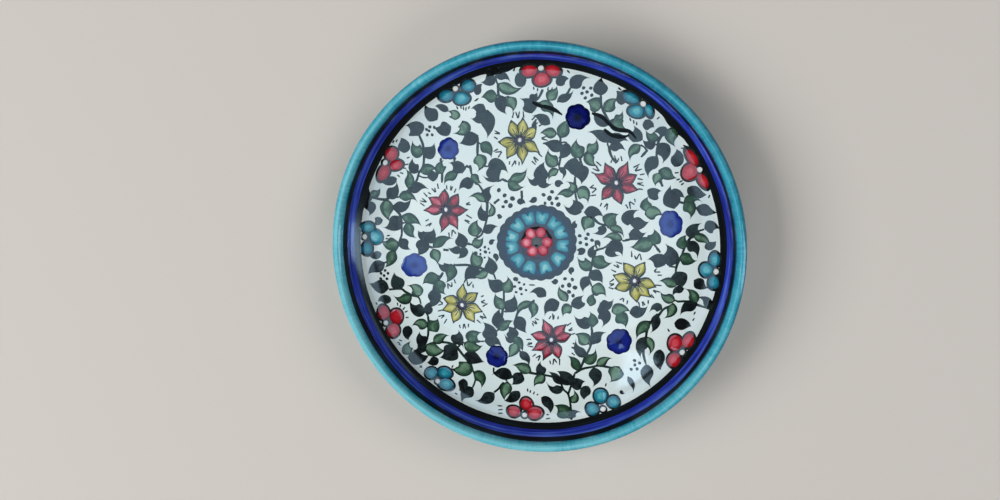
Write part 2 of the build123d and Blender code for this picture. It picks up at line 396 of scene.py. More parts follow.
class Finish:
    """A node material: glossy glaze over a colour that the caller builds."""

    def __init__(self, name, roughness=0.07, ripple=1.0, gloss=0.5):
        self.material = bpy.data.materials.new(name)
        self.material.use_nodes = True
        self.tree = self.material.node_tree
        self.shader = self.tree.nodes["Principled BSDF"]
        self.shader.inputs["Roughness"].default_value = roughness
        self.shader.inputs["IOR"].default_value = 1.5
        self.shader.inputs["Specular IOR Level"].default_value = gloss
        self.place = self.node("ShaderNodeTexCoord").outputs["Object"]
        if ripple:
            self.bump_glaze(ripple)

    def node(self, kind, **settings):
        made = self.tree.nodes.new(kind)
        for key, value in settings.items():
            setattr(made, key, value)
        return made

    def put(self, value, socket):
        """Links an output, or sets a plain value, on a socket."""
        if isinstance(value, bpy.types.NodeSocket):
            self.tree.links.new(value, socket)
        else:
            socket.default_value = value

    def noise(self, scale, detail=2.0, place=None, distortion=0.0):
        made = self.node("ShaderNodeTexNoise")
        made.inputs["Scale"].default_value = scale
        made.inputs["Detail"].default_value = detail
        made.inputs["Distortion"].default_value = distortion
        self.put(place or self.place, made.inputs["Vector"])
        return made.outputs["Fac"]

    def math(self, operation, first, second=0.0):
        made = self.node("ShaderNodeMath", operation=operation)
        self.put(first, made.inputs[0])
        self.put(second, made.inputs[1])
        return made.outputs[0]

    def total(self, *terms):
        """The sum of some values, each times its weight."""
        parts = [self.math("MULTIPLY", value, weight) for value, weight in terms]
        result = parts[0]
        for part in parts[1:]:
            result = self.math("ADD", result, part)
        return result

    def ramp(self, value, *stops):
        """Turns a value into the colour, or the share from 0 to 1, of its stops."""
        made = self.node("ShaderNodeValToRGB")
        while len(made.color_ramp.elements) < len(stops):
            made.color_ramp.elements.new(1)
        for element, (at, colour) in zip(made.color_ramp.elements, stops):
            element.position = at
            element.color = rgb(*colour) if isinstance(colour, tuple) else (colour, colour, colour, 1)
        self.put(value, made.inputs["Fac"])
        return made.outputs["Color"]

    def mix(self, share, first, second):
        made = self.node("ShaderNodeMix", data_type="RGBA")
        self.put(share, made.inputs["Factor"])
        self.put(first, made.inputs["A"])
        self.put(second, made.inputs["B"])
        return made.outputs["Result"]

    def attribute(self, name):
        return self.node("ShaderNodeAttribute", attribute_name=name).outputs["Fac"]

    def round_plate(self, outward, around, upward):
        """Coordinates that follow the wheel: radius, turn and height, each stretched."""
        parts = self.node("ShaderNodeSeparateXYZ")
        self.put(self.place, parts.inputs[0])
        x, y, z = parts.outputs
        squares = self.math("ADD", self.math("POWER", x, 2.0), self.math("POWER", y, 2.0))
        radius = self.math("SQRT", squares)
        turn = self.math("ARCTAN2", y, x)
        joined = self.node("ShaderNodeCombineXYZ")
        stretched = ((radius, outward), (turn, around), (z, upward))
        for socket, (value, stretch) in zip(joined.inputs, stretched):
            self.put(self.math("MULTIPLY", value, stretch), socket)
        return joined.outputs[0]

    def bump(self, height, strength, distance):
        """Roughens the surface by a height without moving it."""
        bump = self.node("ShaderNodeBump")
        bump.inputs["Strength"].default_value = strength
        bump.inputs["Distance"].default_value = distance
        self.put(height, bump.inputs["Height"])
        self.put(bump.outputs["Normal"], self.shader.inputs["Normal"])

    def bump_glaze(self, ripple):
        """Soft waves and orange peel in the glaze."""
        height = self.total((self.noise(45, 2), 1.0), (self.noise(330, 1), 0.07))
        self.bump(height, 0.2 * ripple, 0.0006)

    def colour(self, value):
        self.put(value, self.shader.inputs["Base Color"])
        return self.material


def white_glaze():
    """Cool white with faint clouds and a few dark specks."""
    look = Finish("white_glaze", 0.06)
    cloud = look.ramp(look.noise(38, 3), (0.35, (214, 231, 231)), (0.65, (226, 239, 237)))
    speck = look.ramp(look.noise(900, 2), (0.66, 0.0), (0.74, 1.0))
    return look.colour(look.mix(look.math("MULTIPLY", speck, 0.12), cloud, rgb(150, 160, 158)))


def band_glaze(name, deep, middle, light, roughness, gloss=0.5):
    """A band colour brushed on while the plate turned on the wheel."""
    look = Finish(name, roughness, gloss=gloss)
    streak = look.noise(1.0, 3, look.round_plate(900, 2.2, 900))
    share = look.total((streak, 0.7), (look.noise(60, 2), 0.3))
    return look.colour(look.ramp(share, (0.36, deep), (0.5, middle), (0.64, light)))


# The turquoise is painted darker toward this side of the plate: painted shade for the side that gets
# less light.
SHADED_SIDE = (1.2, 1.2, 0.0)
# Radii in metres between which the turquoise goes over the crest, and how thin and pale it is painted
# from the first to the second: 0 is thick and dark, 1 is thin and pale. Part of this is the glaze
# breaking thin over the crest, part a painted highlight on the crest and painted shade down the
# outside.
TURQUOISE_SPAN = (0.0760, 0.0802)
TURQUOISE_THIN_AND_LIT = ((0.0, 0.25), (0.08, 0.7), (0.3, 0.95), (0.6, 1.0), (0.85, 0.62), (1.0, 0.3))


def rim_turquoise():
    """Turquoise that runs pale over the crest and pools darker outside it, partly as painted highlight
    and shade.
    """
    look = Finish("turquoise_glaze", 0.09, 1.4)
    streak = look.noise(1.0, 3, look.round_plate(700, 3.5, 500))
    pool = look.noise(120, 3)
    fleck = look.noise(1.0, 2, look.round_plate(260, 70, 300))
    parts = look.node("ShaderNodeSeparateXYZ")
    look.put(look.round_plate(1, 1, 1), parts.inputs[0])
    across = look.node("ShaderNodeMapRange")
    look.put(parts.outputs[0], across.inputs["Value"])
    for limit, radius in zip(("From Min", "From Max"), TURQUOISE_SPAN):
        across.inputs[limit].default_value = radius
    # Paler over the crest and darker outside: partly glaze thickness, partly painted highlight and
    # shade.
    thin = look.ramp(across.outputs[0], *TURQUOISE_THIN_AND_LIT)
    fleck = look.math("SUBTRACT", fleck, 0.5)
    share = look.total((streak, 0.35), (pool, 0.25), (thin, 0.4), (fleck, 0.22))
    # Painted shade: the turquoise darkens toward one side of the plate.
    side = look.node("ShaderNodeVectorMath", operation="DOT_PRODUCT")
    look.put(look.place, side.inputs[0])
    side.inputs[1].default_value = SHADED_SIDE
    share = look.math("SUBTRACT", share, look.math("ADD", side.outputs["Value"], 0.02))
    colour = look.ramp(
        share,
        (0.22, (16, 66, 84)),
        (0.42, (28, 118, 146)),
        (0.58, (58, 164, 186)),
        (0.78, (118, 200, 212)),
    )
    return look.colour(colour)


def wash(name, deep, middle, pale, edge_share=0.55):
    """Thin brushed colour: deeper where it pooled along the edge of a stroke."""
    look = Finish(name)
    edge = look.ramp(look.attribute("edge"), (0.35, 0.0), (1.0, 1.0))
    brush = look.noise(420, 2, distortion=0.6)
    share = look.total((edge, edge_share), (brush, 0.5), (look.attribute("tone"), 0.25))
    return look.colour(look.ramp(share, (0.25, pale), (0.5, middle), (0.95, deep)))


# How dark a cobalt flower is, from its eye at 0 to its edge at 1.
BLOOM_RINGS = ((0.0, 0.95), (0.16, 0.85), (0.32, 0.3), (0.62, 0.12), (0.86, 0.45), (1.0, 0.95))


def cobalt_bloom():
    """Thick cobalt: a dark edge, a blue body and a dark eye, deeper on some blooms, partly as painted
    dark reflection.
    """
    look = Finish("cobalt_paint", 0.06)
    rings = look.ramp(look.attribute("edge"), *BLOOM_RINGS)
    brush = look.noise(260, 2, distortion=0.8)
    tone = look.attribute("tone")
    share = look.total((rings, 0.45), (brush, 0.35), (tone, 0.42))
    # Painted reflection: deeper blooms are also made less glossy, so they mirror less light.
    gloss = look.math("SUBTRACT", 0.52, look.math("MULTIPLY", tone, 0.44))
    look.put(gloss, look.shader.inputs["Specular IOR Level"])
    colour = look.ramp(
        share,
        (0.2, (48, 76, 156)),
        (0.45, (22, 38, 130)),
        (0.75, (8, 13, 80)),
        (1.0, (3, 5, 26)),
    )
    return look.colour(colour)


def ink(name, deep, thin, gloss=0.5):
    """Near black line colour that lets a little of the white through where thin."""
    look = Finish(name, 0.08, gloss=gloss)
    brush = look.noise(380, 3, distortion=1.0)
    share = look.total((brush, 0.8), (look.attribute("tone"), 0.2))
    return look.colour(look.ramp(share, (0.42, deep), (0.62, thin)))


def fired_clay():
    """Dry earthenware with a fine grain and paler smudges of slip."""
    look = Finish("fired_clay", 0.85, 0)
    grain = look.noise(700, 4)
    look.bump(grain, 0.5, 0.0003)
    smudge = look.noise(60, 3)
    base = look.ramp(grain, (0.3, (176, 132, 100)), (0.7, (208, 168, 134)))
    return look.colour(look.mix(look.math("MULTIPLY", smudge, 0.3), base, rgb(214, 190, 165)))


WHITE = white_glaze()
BLACK_BAND = band_glaze("black_glaze", (4, 7, 9), (8, 13, 16), (14, 26, 31), 0.18)
BLACK_WALL = band_glaze("black_wall_glaze", (4, 10, 12), (8, 20, 24), (16, 44, 52), 0.45, gloss=0.2)
COBALT_BAND = band_glaze("cobalt_glaze", (22, 32, 124), (40, 60, 172), (82, 112, 212), 0.12)
TURQUOISE = rim_turquoise()
CLAY = fired_clay()
INK = ink("black_line", (8, 14, 16), (30, 42, 44))
LEAF_DARK = ink("dark_leaf", (3, 6, 7), (30, 44, 44))
# Deep black with little gloss, for painted dark reflection where the glaze mirrors no light.
UNREFLECTING_BLACK = ink("unreflecting_black", (3, 5, 6), (16, 22, 22), gloss=0.08)
LEAF_LINE = ink("leaf_line", (8, 22, 16), (26, 50, 40))
LEAF_GREEN = wash("green_leaf", (18, 44, 30), (45, 78, 56), (104, 138, 114), 0.4)
YELLOW = wash("yellow_paint", (122, 116, 32), (176, 172, 70), (210, 208, 130))
CRIMSON = wash("crimson_paint", (92, 8, 26), (150, 28, 50), (196, 96, 112))
RED = wash("red_paint", (142, 8, 20), (186, 24, 38), (214, 76, 88))
ROSE = wash("rosette_red", (152, 20, 40), (198, 58, 78), (230, 140, 152))
SEA = wash("turquoise_paint", (10, 88, 116), (30, 138, 158), (92, 184, 192))
COBALT = cobalt_bloom()
GROUND = wash("medallion_paint", (26, 38, 54), (40, 54, 72), (56, 74, 92))
TAIL = wash("medallion_tail", (26, 106, 132), (64, 158, 174), (146, 204, 206))
TEAL = wash("teal_shade", (14, 54, 84), (22, 76, 106), (34, 98, 126))
HEART = wash("flower_heart", (24, 14, 32), (44, 28, 52), (66, 46, 70))
PLUM = wash("medallion_plum", (40, 24, 48), (76, 46, 74), (112, 66, 96))
GREY = wash("rosette_grey", (44, 44, 42), (72, 70, 66), (98, 94, 88))
DOT_WHITE = wash("white_dot", (200, 205, 205), (228, 232, 230), (240, 242, 240))


# ------------------------------------------------------------ glaze pieces
def edge_at(distance, seed=0, size=0.0):
    """A colour edge at a distance along the section that wavers a little."""
    return lambda angle: distance + waves(angle, seed, size)


# Where the brush of the black band strayed onto the floor: angle, how far, how wide.
STRAYS = ((101, 1.3, 4.0), (43, 1.0, 3.5), (164, 1.8, 2.6))


def white_edge(angle):
    """The edge of the white floor, pushed in where the black strays."""
    distance = along_surface(WHITE_EDGE) + waves(angle, 21, 0.30)
    for at, reach, width in STRAYS:
        aside = (math.degrees(angle) - at + 180) % 360 - 180
        distance -= reach * math.exp(-((aside / width) ** 4))
    return distance


floor_middle = edge_at(0.0)
black_edge = edge_at(along_surface(BLACK_EDGE), 22, 0.22)
cobalt_edge = edge_at(along_surface(COBALT_EDGE), 23, 0.25)
rim_inner_edge = edge_at(RIM_START - TURQUOISE_REACH, 24, 0.3)
rim_outer_edge = edge_at(RIM_END)
foot_edge = edge_at(SURFACE_AT[-1] - 0.2, 30, 0.2)

# Section of the clay in the recess and round the foot ring, and where the ring starts.
FOOT_SECTION = (
    (0, RECESS + CLAY_DEPTH),
    (30, RECESS + CLAY_DEPTH),
    (48.4, RECESS + CLAY_DEPTH),
    (49.8, RECESS - 0.4),
    (50.3, 1.6),
    (50.5, 0.9),
    (50.9, 0.25),
    (51.7, 0.02),
    (52.5, 0),
    (53.4, 0.02),
    (54.2, 0.25),
    (54.7, 0.9),
    (54.85, 1.3),
)
FOOT_START = 49


def body_section(angle):
    """The clay, with its bare foot ring, just under the skins of glaze."""
    foot = spline(FOOT_SECTION, 6)
    on_ring = (foot[:, 0] > FOOT_START) & (foot[:, 1] > 0.1)
    foot[:, 0] += np.where(on_ring, waves(angle, 41, 0.05), 0)
    return np.vstack([foot, BODY_SKIN])


# Where the glaze of the recess bends down to the foot ring: radius, underside, back.
RECESS_BEND = ((49.4, 2.75, 3.3), (50.0, 2.2, 2.7), (50.35, 1.7, 2.0), (50.55, 1.25, 1.45))
# How far out the recess is flat, how thick its glaze is, and how much further out the
# back of the bend lies.
RECESS_FLAT, RECESS_DEPTH, RECESS_BACK = 48.6, 0.45, 0.25


def base_section(angle):
    """White glaze in the recess under the foot, with faint turning rings."""
    flat = np.linspace(0, RECESS_FLAT, 90)
    turned = 0.05 * np.sin(flat * 1.9) * np.sin(flat * 0.31)
    dimple = 0.25 * np.exp(-((flat / 2.2) ** 2))
    low = RECESS + (turned - dimple)
    bend = np.array(RECESS_BEND)
    bend[-1, 1:] += waves(angle, 43, 0.25)
    under = np.vstack((np.column_stack((flat, low)), bend[:, :2]))
    back = np.vstack((np.column_stack((flat, low + RECESS_DEPTH)), bend[:, ::2] + (RECESS_BACK, 0)))
    return np.vstack((under, back[::-1]))


# The clay's face under the glaze, from the foot over the rim to the middle of the floor.
BODY_SKIN = (SURFACE + SURFACE_INWARD * CLAY_DEPTH)[::-4]
BODY_SKIN[-1, 0] = 0


def fit(piece, node):
    """Attaches a turned piece and hides the CAD node that it stands for."""
    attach(piece, "root")
    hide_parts(node)


fit(skin("white_floor", floor_middle, white_edge, WHITE, 70), "floor_glaze")
fit(skin("black_band_lower", white_edge, black_edge, BLACK_BAND), "lower_black_band")
fit(skin("cobalt_band_painted", black_edge, cobalt_edge, COBALT_BAND), "cobalt_band")
fit(skin("black_band_upper", cobalt_edge, rim_inner_edge, BLACK_WALL), "upper_black_band")
fit(skin("turquoise_rim", rim_inner_edge, rim_outer_edge, TURQUOISE, 26), "rim_glaze")
outside = skin("turquoise_outside", rim_outer_edge, foot_edge, TURQUOISE, 60, thin_end=True)
fit(outside, "outer_wall_glaze")
fit(lathe("thrown_body", body_section, CLAY, 360), "clay_body")
fit(lathe("recess_glaze", base_section, WHITE, 360), "base_glaze")

# ------------------------------------------------------- painted design, mm
# Leaves: foot x, foot y, tip x, tip y, width and sometimes how far it bows.
GREEN_LEAVES = (
    # north
    (-14.6, 64.8, -5.3, 61.3, 3.6), (-14.5, 60.2, -20.9, 60.8, 4), (-10.2, 60, -6.8, 55.2, 3.8),
    (1.5, 57.5, 8.2, 53.3, 3.6), (5, 58.3, 9.6, 62.5, 3.6), (8.7, 46, 2.3, 47.5, 3.4, 0.6),
    (9.5, 44.3, 11.5, 52, 4, -1), (9.3, 34, 4.2, 38.8, 4.2, 0.8), (9.5, 32, 4.8, 29, 2.6),
    (18.5, 37, 14.8, 43.2, 4.5), (20, 39, 25, 42.3, 3.8), (20.5, 39, 23.1, 33, 3.4),
    (-10, 28, -2.2, 31, 3.4), (-10.5, 27, -5, 23.5, 3.6), (25.5, 56.3, 20.7, 59.6, 4.6, 1.2),
    (27, 54, 29.8, 60, 3.8), (30, 51.5, 33.7, 46.5, 4.4), (30, 51, 34, 53.2, 2.6),
    (40.3, 41.8, 35, 37.5, 3.2), (47, 44.8, 41.7, 45.7, 3.2, 0.8), (52, 48.5, 51.8, 41.2, 4),
    (47.5, 32.5, 53, 28, 3.8, 0.8), (47.7, 31.5, 45.2, 27, 3.2), (-31.5, 51, -32.5, 55, 3.6),
    (-28.5, 50.8, -31, 45.2, 4.2, 2.5), (-21.5, 42, -16.2, 37.3, 3.8), (-22.3, 37.8, -20.3, 31.6, 4.4),
    (-25, 30, -21.7, 25.7, 2.8), (-44.3, 38.3, -49.7, 41.2, 4.4, 1), (-46, 30.8, -39.5, 33.7, 3.6),
    (-36.3, 30.2, -37.8, 35, 3.8), (-30.5, 29.8, -36.8, 27.2, 3.2), (-51, 23.8, -49.7, 31.5, 3.2),
    # west
    (-55, 20.3, -47.3, 20.3, 3.4, 0.8), (-67, 20.5, -62, 22.8, 2.8), (-60.2, 19.5, -61, 10.5, 4.6),
    (-54, 12.8, -45.3, 10.8, 3.6), (-52, 10, -50, 3.2, 3.8), (-55.5, 2, -63, 1, 4.4, 0.8),
    (-57, -1.5, -59.8, -9.5, 3.8), (-41, 0, -33.4, 5.2, 3.4, 0.8), (-41, -0.3, -38, -6, 3.8),
    (-32.5, -6.5, -33.8, -14.6, 4), (-21.5, -7, -25.8, -1.8, 4.4), (-18.5, -8.8, -24, -12.3, 3),
    (-38.8, -11.5, -46.2, -14, 4.2), (-39, -13, -37.7, -19.6, 4), (-12, -17.3, -8.8, -11.5, 4.2),
    (-12.2, -24.5, -16.8, -18.8, 3.8), (-50.3, -20.5, -57.8, -22.3, 3.6),
    (-47.2, -20.5, -50.5, -15, 4.2), (-19.3, 19, -25.3, 22.5, 2.8), (-17.8, 13.2, -16.2, 18.8, 2.2),
    (-23, 5, -23.8, 11.8, 4.6), (-25, 1.5, -19.7, 3, 3.4), (-14.3, -33, -9.2, -27.6, 3.1),
    # south west
    (-43.8, -33, -50, -31, 3.8), (-43.2, -34.8, -38.2, -30.6, 4.8), (-41.5, -39.8, -35.9, -35, 3.4),
    (-45.3, -41.5, -36.6, -43.8, 4.8), (-26, -39, -22.6, -33.5, 4.5), (-28.5, -39, -21, -41.3, 4.5),
    (-26.5, -47, -33.5, -51.8, 5.5, 1.8), (-24.8, -51.5, -20.2, -57.4, 4, 1.5),
    (-10.5, -54.5, -13.8, -62, 4, 1), (-0.5, -49.8, -7.8, -46.2, 3.8), (-7.5, -35, -3.2, -40.8, 3.2),
    (-6.5, -38, -9.3, -45, 3.6), (-51.5, -45.3, -53, -40, 3.8),
    # south east
    (24, -30, 24.3, -23.8, 3.8), (33, -24, 37.8, -28.5, 4.4), (22.5, -37, 17.8, -32, 4.4),
    (20.5, -44.5, 26.2, -40.3, 3.6), (18, -48.5, 15, -41.8, 3.2), (25.5, -45.8, 30.5, -41, 3),
    (34.5, -45.5, 33, -52.8, 5), (44.7, -32.8, 47.8, -39.6, 2.8), (46, -26.5, 39.8, -32.8, 3.6),
    (15.8, -62, 18.3, -57.2, 2.8), (14.5, -68.5, 10.7, -62.3, 5.2), (5, -51, -0.5, -54.8, 3.4),
    (31, -23.5, 37.8, -21, 4.2), (23, -13.5, 29.3, -15, 4.4), (22.5, -21.5, 22.5, -16, 3),
    (15.5, -22, 11, -25, 3.6), (13.5, -20, 8.8, -15, 3.2), (-0.5, -20.8, -8, -24.8, 2.6),
    (0, -20.5, 1, -27.5, 3.2), (22.8, -3.8, 17.4, -4.4, 4.4, 1), (54.5, -18.8, 52.5, -25.5, 3.2),
    (55.3, -18, 49, -16.6, 3.2), (63, -18.8, 60.6, -12.3, 3.2), (56, -11.5, 49.6, -8.6, 3.2),
    # east
    (43, 16.5, 41.8, 22, 3.6), (42.6, 15.5, 49.2, 17.2, 4.4), (57, 20.5, 62.8, 22.8, 3),
    (57, 20.5, 61, 15, 4), (61, 8, 68.3, 5.5, 2.8), (57.5, 2.3, 57, 8, 3.8), (56, -1, 61.8, -4, 4, 1.2),
    (23.5, -1.5, 29.8, -5.5, 4.6), (34.5, 5.2, 27.3, 7.2, 2.8), (46.5, 4.5, 37.8, 1.5, 4.8),
    (45.5, 4, 47.8, 9.3, 4.4), (28, 10.6, 31.4, 16.3, 4.8), (29.2, 9.8, 35.5, 8, 2.6),
    (15.5, 23, 8.9, 23.9, 2.8), (15, 23.5, 14.8, 27.8, 2.8), (16.3, 24, 21.8, 20.7, 4.4, 1),
    (22.5, 14, 18.8, 8.9, 4.6),
)
DARK_LEAVES = (
    # north
    (-15.5, 67.5, -20.3, 64.2, 3.5), (-15.5, 67.8, -9.3, 67, 2.6), (-19.5, 68.7, -12.8, 69.8, 2.5),
    (-13.5, 60.5, -13, 53, 4.2), (-1.2, 53.5, -3.5, 60, 4.5), (-2, 58.5, 1.5, 60.5, 2.5),
    (8.5, 58, 15.3, 59.8, 2.6), (13.5, 63, 19, 68.3, 4), (6, 49.5, 0, 54, 3.2), (-1, 47, -0.5, 52, 1.5),
    (11.5, 41, 3.8, 44, 3.8, 1.4), (12.5, 42.5, 10, 35.8, 3.8, 0.6), (9.8, 33, 12.6, 29.5, 1.8),
    (18.3, 33.5, 10.9, 34.3, 5.2), (17.5, 34.5, 20, 27.2, 5), (2.2, 27, 2.2, 35.2, 4.5),
    (2.2, 28.5, 5.8, 25.2, 3), (2, 28, -2.5, 27.2, 2.5), (-18.5, 33, -10.2, 32.5, 4.5, 1),
    (-17.5, 33.5, -14.5, 26.6, 5), (-14.5, 27.2, -20.5, 27.3, 1.4), (-19, 54.5, -24.3, 57, 3.5),
    (-20, 53.5, -24.3, 50.5, 3.8), (-18.5, 55, -16.3, 44.5, 4.6, -1), (-22.5, 45.3, -29.3, 41, 4.4),
    (25, 60, 24, 66.8, 4.4), (29, 50, 21.8, 54, 3.2, 1.5), (30, 43.5, 21.4, 48.5, 3.4, 0.8),
    (28, 42.8, 35.5, 44.5, 3.6), (28.5, 41.2, 34.5, 42, 3), (37.5, 42.8, 39.8, 48.1, 4.6),
    (46, 42, 41, 41.8, 3.2), (47, 42.5, 50.2, 35.6, 4.4), (46.8, 37.5, 41.8, 30.8, 4),
    (53.5, 17.8, 49.8, 25.8, 5.2), (51.5, 23, 57.2, 23.8, 3.6), (44, 21.8, 47.3, 25.8, 4.2),
    (50.5, 46.5, 45.3, 48.3, 3), (-38.5, 51, -44.3, 56, 4.4), (-33, 48.5, -39.6, 46.5, 4.6),
    (-46, 44.8, -50.3, 49.8, 5.8), (-44.3, 36.5, -39, 41, 4.2), (-46.5, 30.5, -50, 35.2, 3.6),
    (-42.9, 28.3, -37.7, 29.2, 3.6), (-29, 30.3, -32.3, 35.5, 4.4), (-24, 27, -30.6, 25.8, 3.8),
    (-51.3, 23.3, -43.2, 25.9, 3.6), (-18.8, 18.5, -18.5, 25.8, 3.4),
    # west
    (-60, 20, -54.2, 24.8, 4), (-57.8, 16.6, -49.3, 17.9, 3.6, -1), (-67.5, 18.5, -66.3, 12.7, 3.6),
    (-53.8, 12, -60.2, 6, 5), (-54.8, 3.2, -52.5, -2, 3.6, 0.8), (-44.5, 2.5, -39.6, 7.2, 4.2),
    (-44, 4, -47.8, 5.6, 3), (-44.5, 3.5, -45.7, -3.8, 4.6), (-28.5, 0.5, -29.2, 7, 4.2),
    (-28.5, 1, -29.6, -4.4, 3.2), (-29, -0.5, -34.8, -1, 2.6), (-34, -6.5, -39.3, -7, 3, 1.6),
    (-22, -7.5, -29, -12.2, 4.6), (-16.5, -10.2, -16.8, -2.5, 4.2), (-12.3, -16.5, -19.3, -13, 4.6),
    (-10.8, -25.5, -6, -19.2, 4.4), (-61.5, -6.8, -69.5, -11, 4), (-60, -17.5, -68.5, -16.8, 4.8),
    (-55, -18, -58.8, -11.3, 4.8), (-40.8, -16.8, -41.8, -25.4, 4.4),
    (-44.5, -26.5, -52, -24.5, 4.4, 0.8), (-43.5, -28, -44, -22.3, 3), (-18.8, 11.5, -22.7, 17, 3.4),
    (-20.5, 7, -15, 10.5, 3),
    # south west
    (-45, -41, -48.9, -36.7, 4.2), (-45.5, -40, -49.2, -44.5, 3.4), (-52.5, -46.3, -43.3, -47.2, 4.8),
    (-32.5, -40, -29, -35, 4.5), (-32, -39, -28.5, -39.5, 2), (-31.5, -41.5, -37.5, -47.5, 6),
    (-29, -45, -20.5, -48.3, 4.4, 1.5), (-25, -58, -31, -62.8, 4.4), (-16, -59.8, -23, -65, 4),
    (-8.5, -52.5, -16.3, -50, 4), (-4.5, -50.5, -7.5, -56.6, 4), (-17.5, -38, -18.8, -29.6, 5),
    (-20, -38, -12.7, -37.7, 4), (-14.5, -32.6, -15.6, -24.2, 4.2), (-7.2, -27, -3.8, -34.3, 4.2),
    (-7.8, -36.5, -8.6, -30.9, 4), (-8, -36, -11.5, -36.5, 2.4), (-5.5, -41.5, -0.2, -46, 2.8),
    # south east
    (23.5, -28, 16.3, -28, 4), (26.5, -23, 29.5, -28.8, 4.2), (24, -37, 27.8, -31, 3.6),
    (21.5, -42.5, 15.5, -37.2, 3.2), (24.5, -46.5, 26.3, -54.4, 4.2), (38, -49.5, 41.5, -55.3, 1.8),
    (45, -44, 44.8, -53, 4), (44.6, -32.8, 41, -40.8, 3.8), (48.3, -23.5, 48, -31.3, 3),
    (15.5, -54.5, 11.5, -47.8, 4.6), (15.5, -55, 20.5, -51.5, 4.2), (11.5, -54.5, 7.4, -48.5, 2.6),
    (12.5, -55.5, 5.7, -56, 3, 1.5), (15.5, -68.5, 18, -64.5, 2.6), (4.5, -51, 1.7, -46, 3.4),
    (50.5, -21.5, 45.7, -21.2, 2.8, -0.8), (38, -23.6, 45.3, -22.6, 4), (26, -21, 32, -19.7, 3.6),
    (27.5, -25, 27.5, -19.5, 2.6), (22.5, -7, 28.3, -10.5, 4), (63.8, -18.6, 56.8, -22.5, 3.6),
    (68.8, -20.5, 65.3, -14.8, 2.8), (62, -9.5, 66.5, -13.6, 3.6), (58.5, -13, 53.5, -14.7, 2.4),
    (55, -6.5, 58, -13, 5.4), (21.8, -9.5, 18.7, -15.5, 3.2), (10.5, -20.5, 3.6, -24.5, 4.4),
    (5, -18.3, -1, -15.5, 3.4), (18, -23, 17.7, -17.3, 4.4), (24, -2, 22.3, 2.8, 2.8),
    # east
    (61.5, 18.3, 69, 15.5, 3.6), (65, 10.5, 70.3, 12, 4), (60.5, 6.5, 62, 13, 4.2),
    (58.5, 4.5, 64.2, 1.2, 3.6, 0.5), (52.5, -4.5, 53, 4.2, 5), (51, -4, 44.8, -0.8, 4.6),
    (28.5, 2.5, 31.5, -2.2, 3.5), (29, 3.5, 35.5, 1, 4.5), (37, 8, 42.8, 6.2, 3.8),
    (27, 11, 24.8, 6.7, 2.8), (36.2, 11, 38, 17.8, 4.2), (37.3, 11.5, 44.3, 10.9, 4),
    (19.5, 15.8, 27, 16.3, 3.8), (17, 15.5, 16.3, 20.8, 4.4), (18.5, 15.8, 11.3, 16.7, 2.4),
    (24, 4.8, 26.5, 3, 1.6),
)
TEARDROPS = (
    # near the edge
    (8.5, 64, 12, 67.3, 3), (-4, 64, -7.3, 68.3, 3.6), (-22.8, 60.5, -21.7, 65, 2.4),
    (-34, 54.5, -39, 57, 2.2), (32.8, 56.6, 31.6, 62, 3), (40.8, 49.3, 45, 49.5, 3.2),
    (53.2, 33.7, 54.8, 40, 3.8), (58.2, 26, 64.8, 22.6, 3.6), (-52.3, 38, -52.8, 44, 4),
    (-55.6, 27.8, -61.7, 25.6, 2.8), (-62.8, -3, -67.5, -5.2, 2.6), (-63, 9, -64.5, 12, 3),
    (-59.2, -22.8, -64.8, -22, 3), (-52, -33, -53.3, -38.9, 3.4), (-39.3, -46.8, -43.7, -49.3, 3),
    (-29, -54.5, -30, -60, 3.2), (-5.5, -58.5, -11, -63.6, 3.4), (22.5, -54.5, 20.2, -60, 3.4),
    (3.5, -60.5, 8.2, -66.2, 3.4, 1), (50.3, -37.7, 50, -46, 3.6), (55.3, -26.8, 61.7, -26.8, 3.8),
    (65.5, 3, 69.8, 5, 2.6), (35, -55.8, 36.3, -57.3, 1.2),
    # round the medallion
    (8, 26.2, 11, 27.5, 2.2), (-13.3, 14.2, -13.7, 12.4, 1.7), (16.7, 9.7, 15.4, 12, 1.8),
    (18.6, 1.9, 18.5, -1, 2.6), (15.8, -6.3, 14.5, -8.9, 1.8), (9.8, -12.2, 7.3, -12.8, 1.8),
    (0.9, 21.2, -1.6, 19.1, 1.8), (-6.8, 19.5, -3.5, 19.6, 2), (-17.4, 1.9, -16.3, 4.3, 1.5),
    (-16, -1.6, -14.3, -4.4, 1.7), (-7.6, -10.8, -6.1, -12.1, 1.6),
)
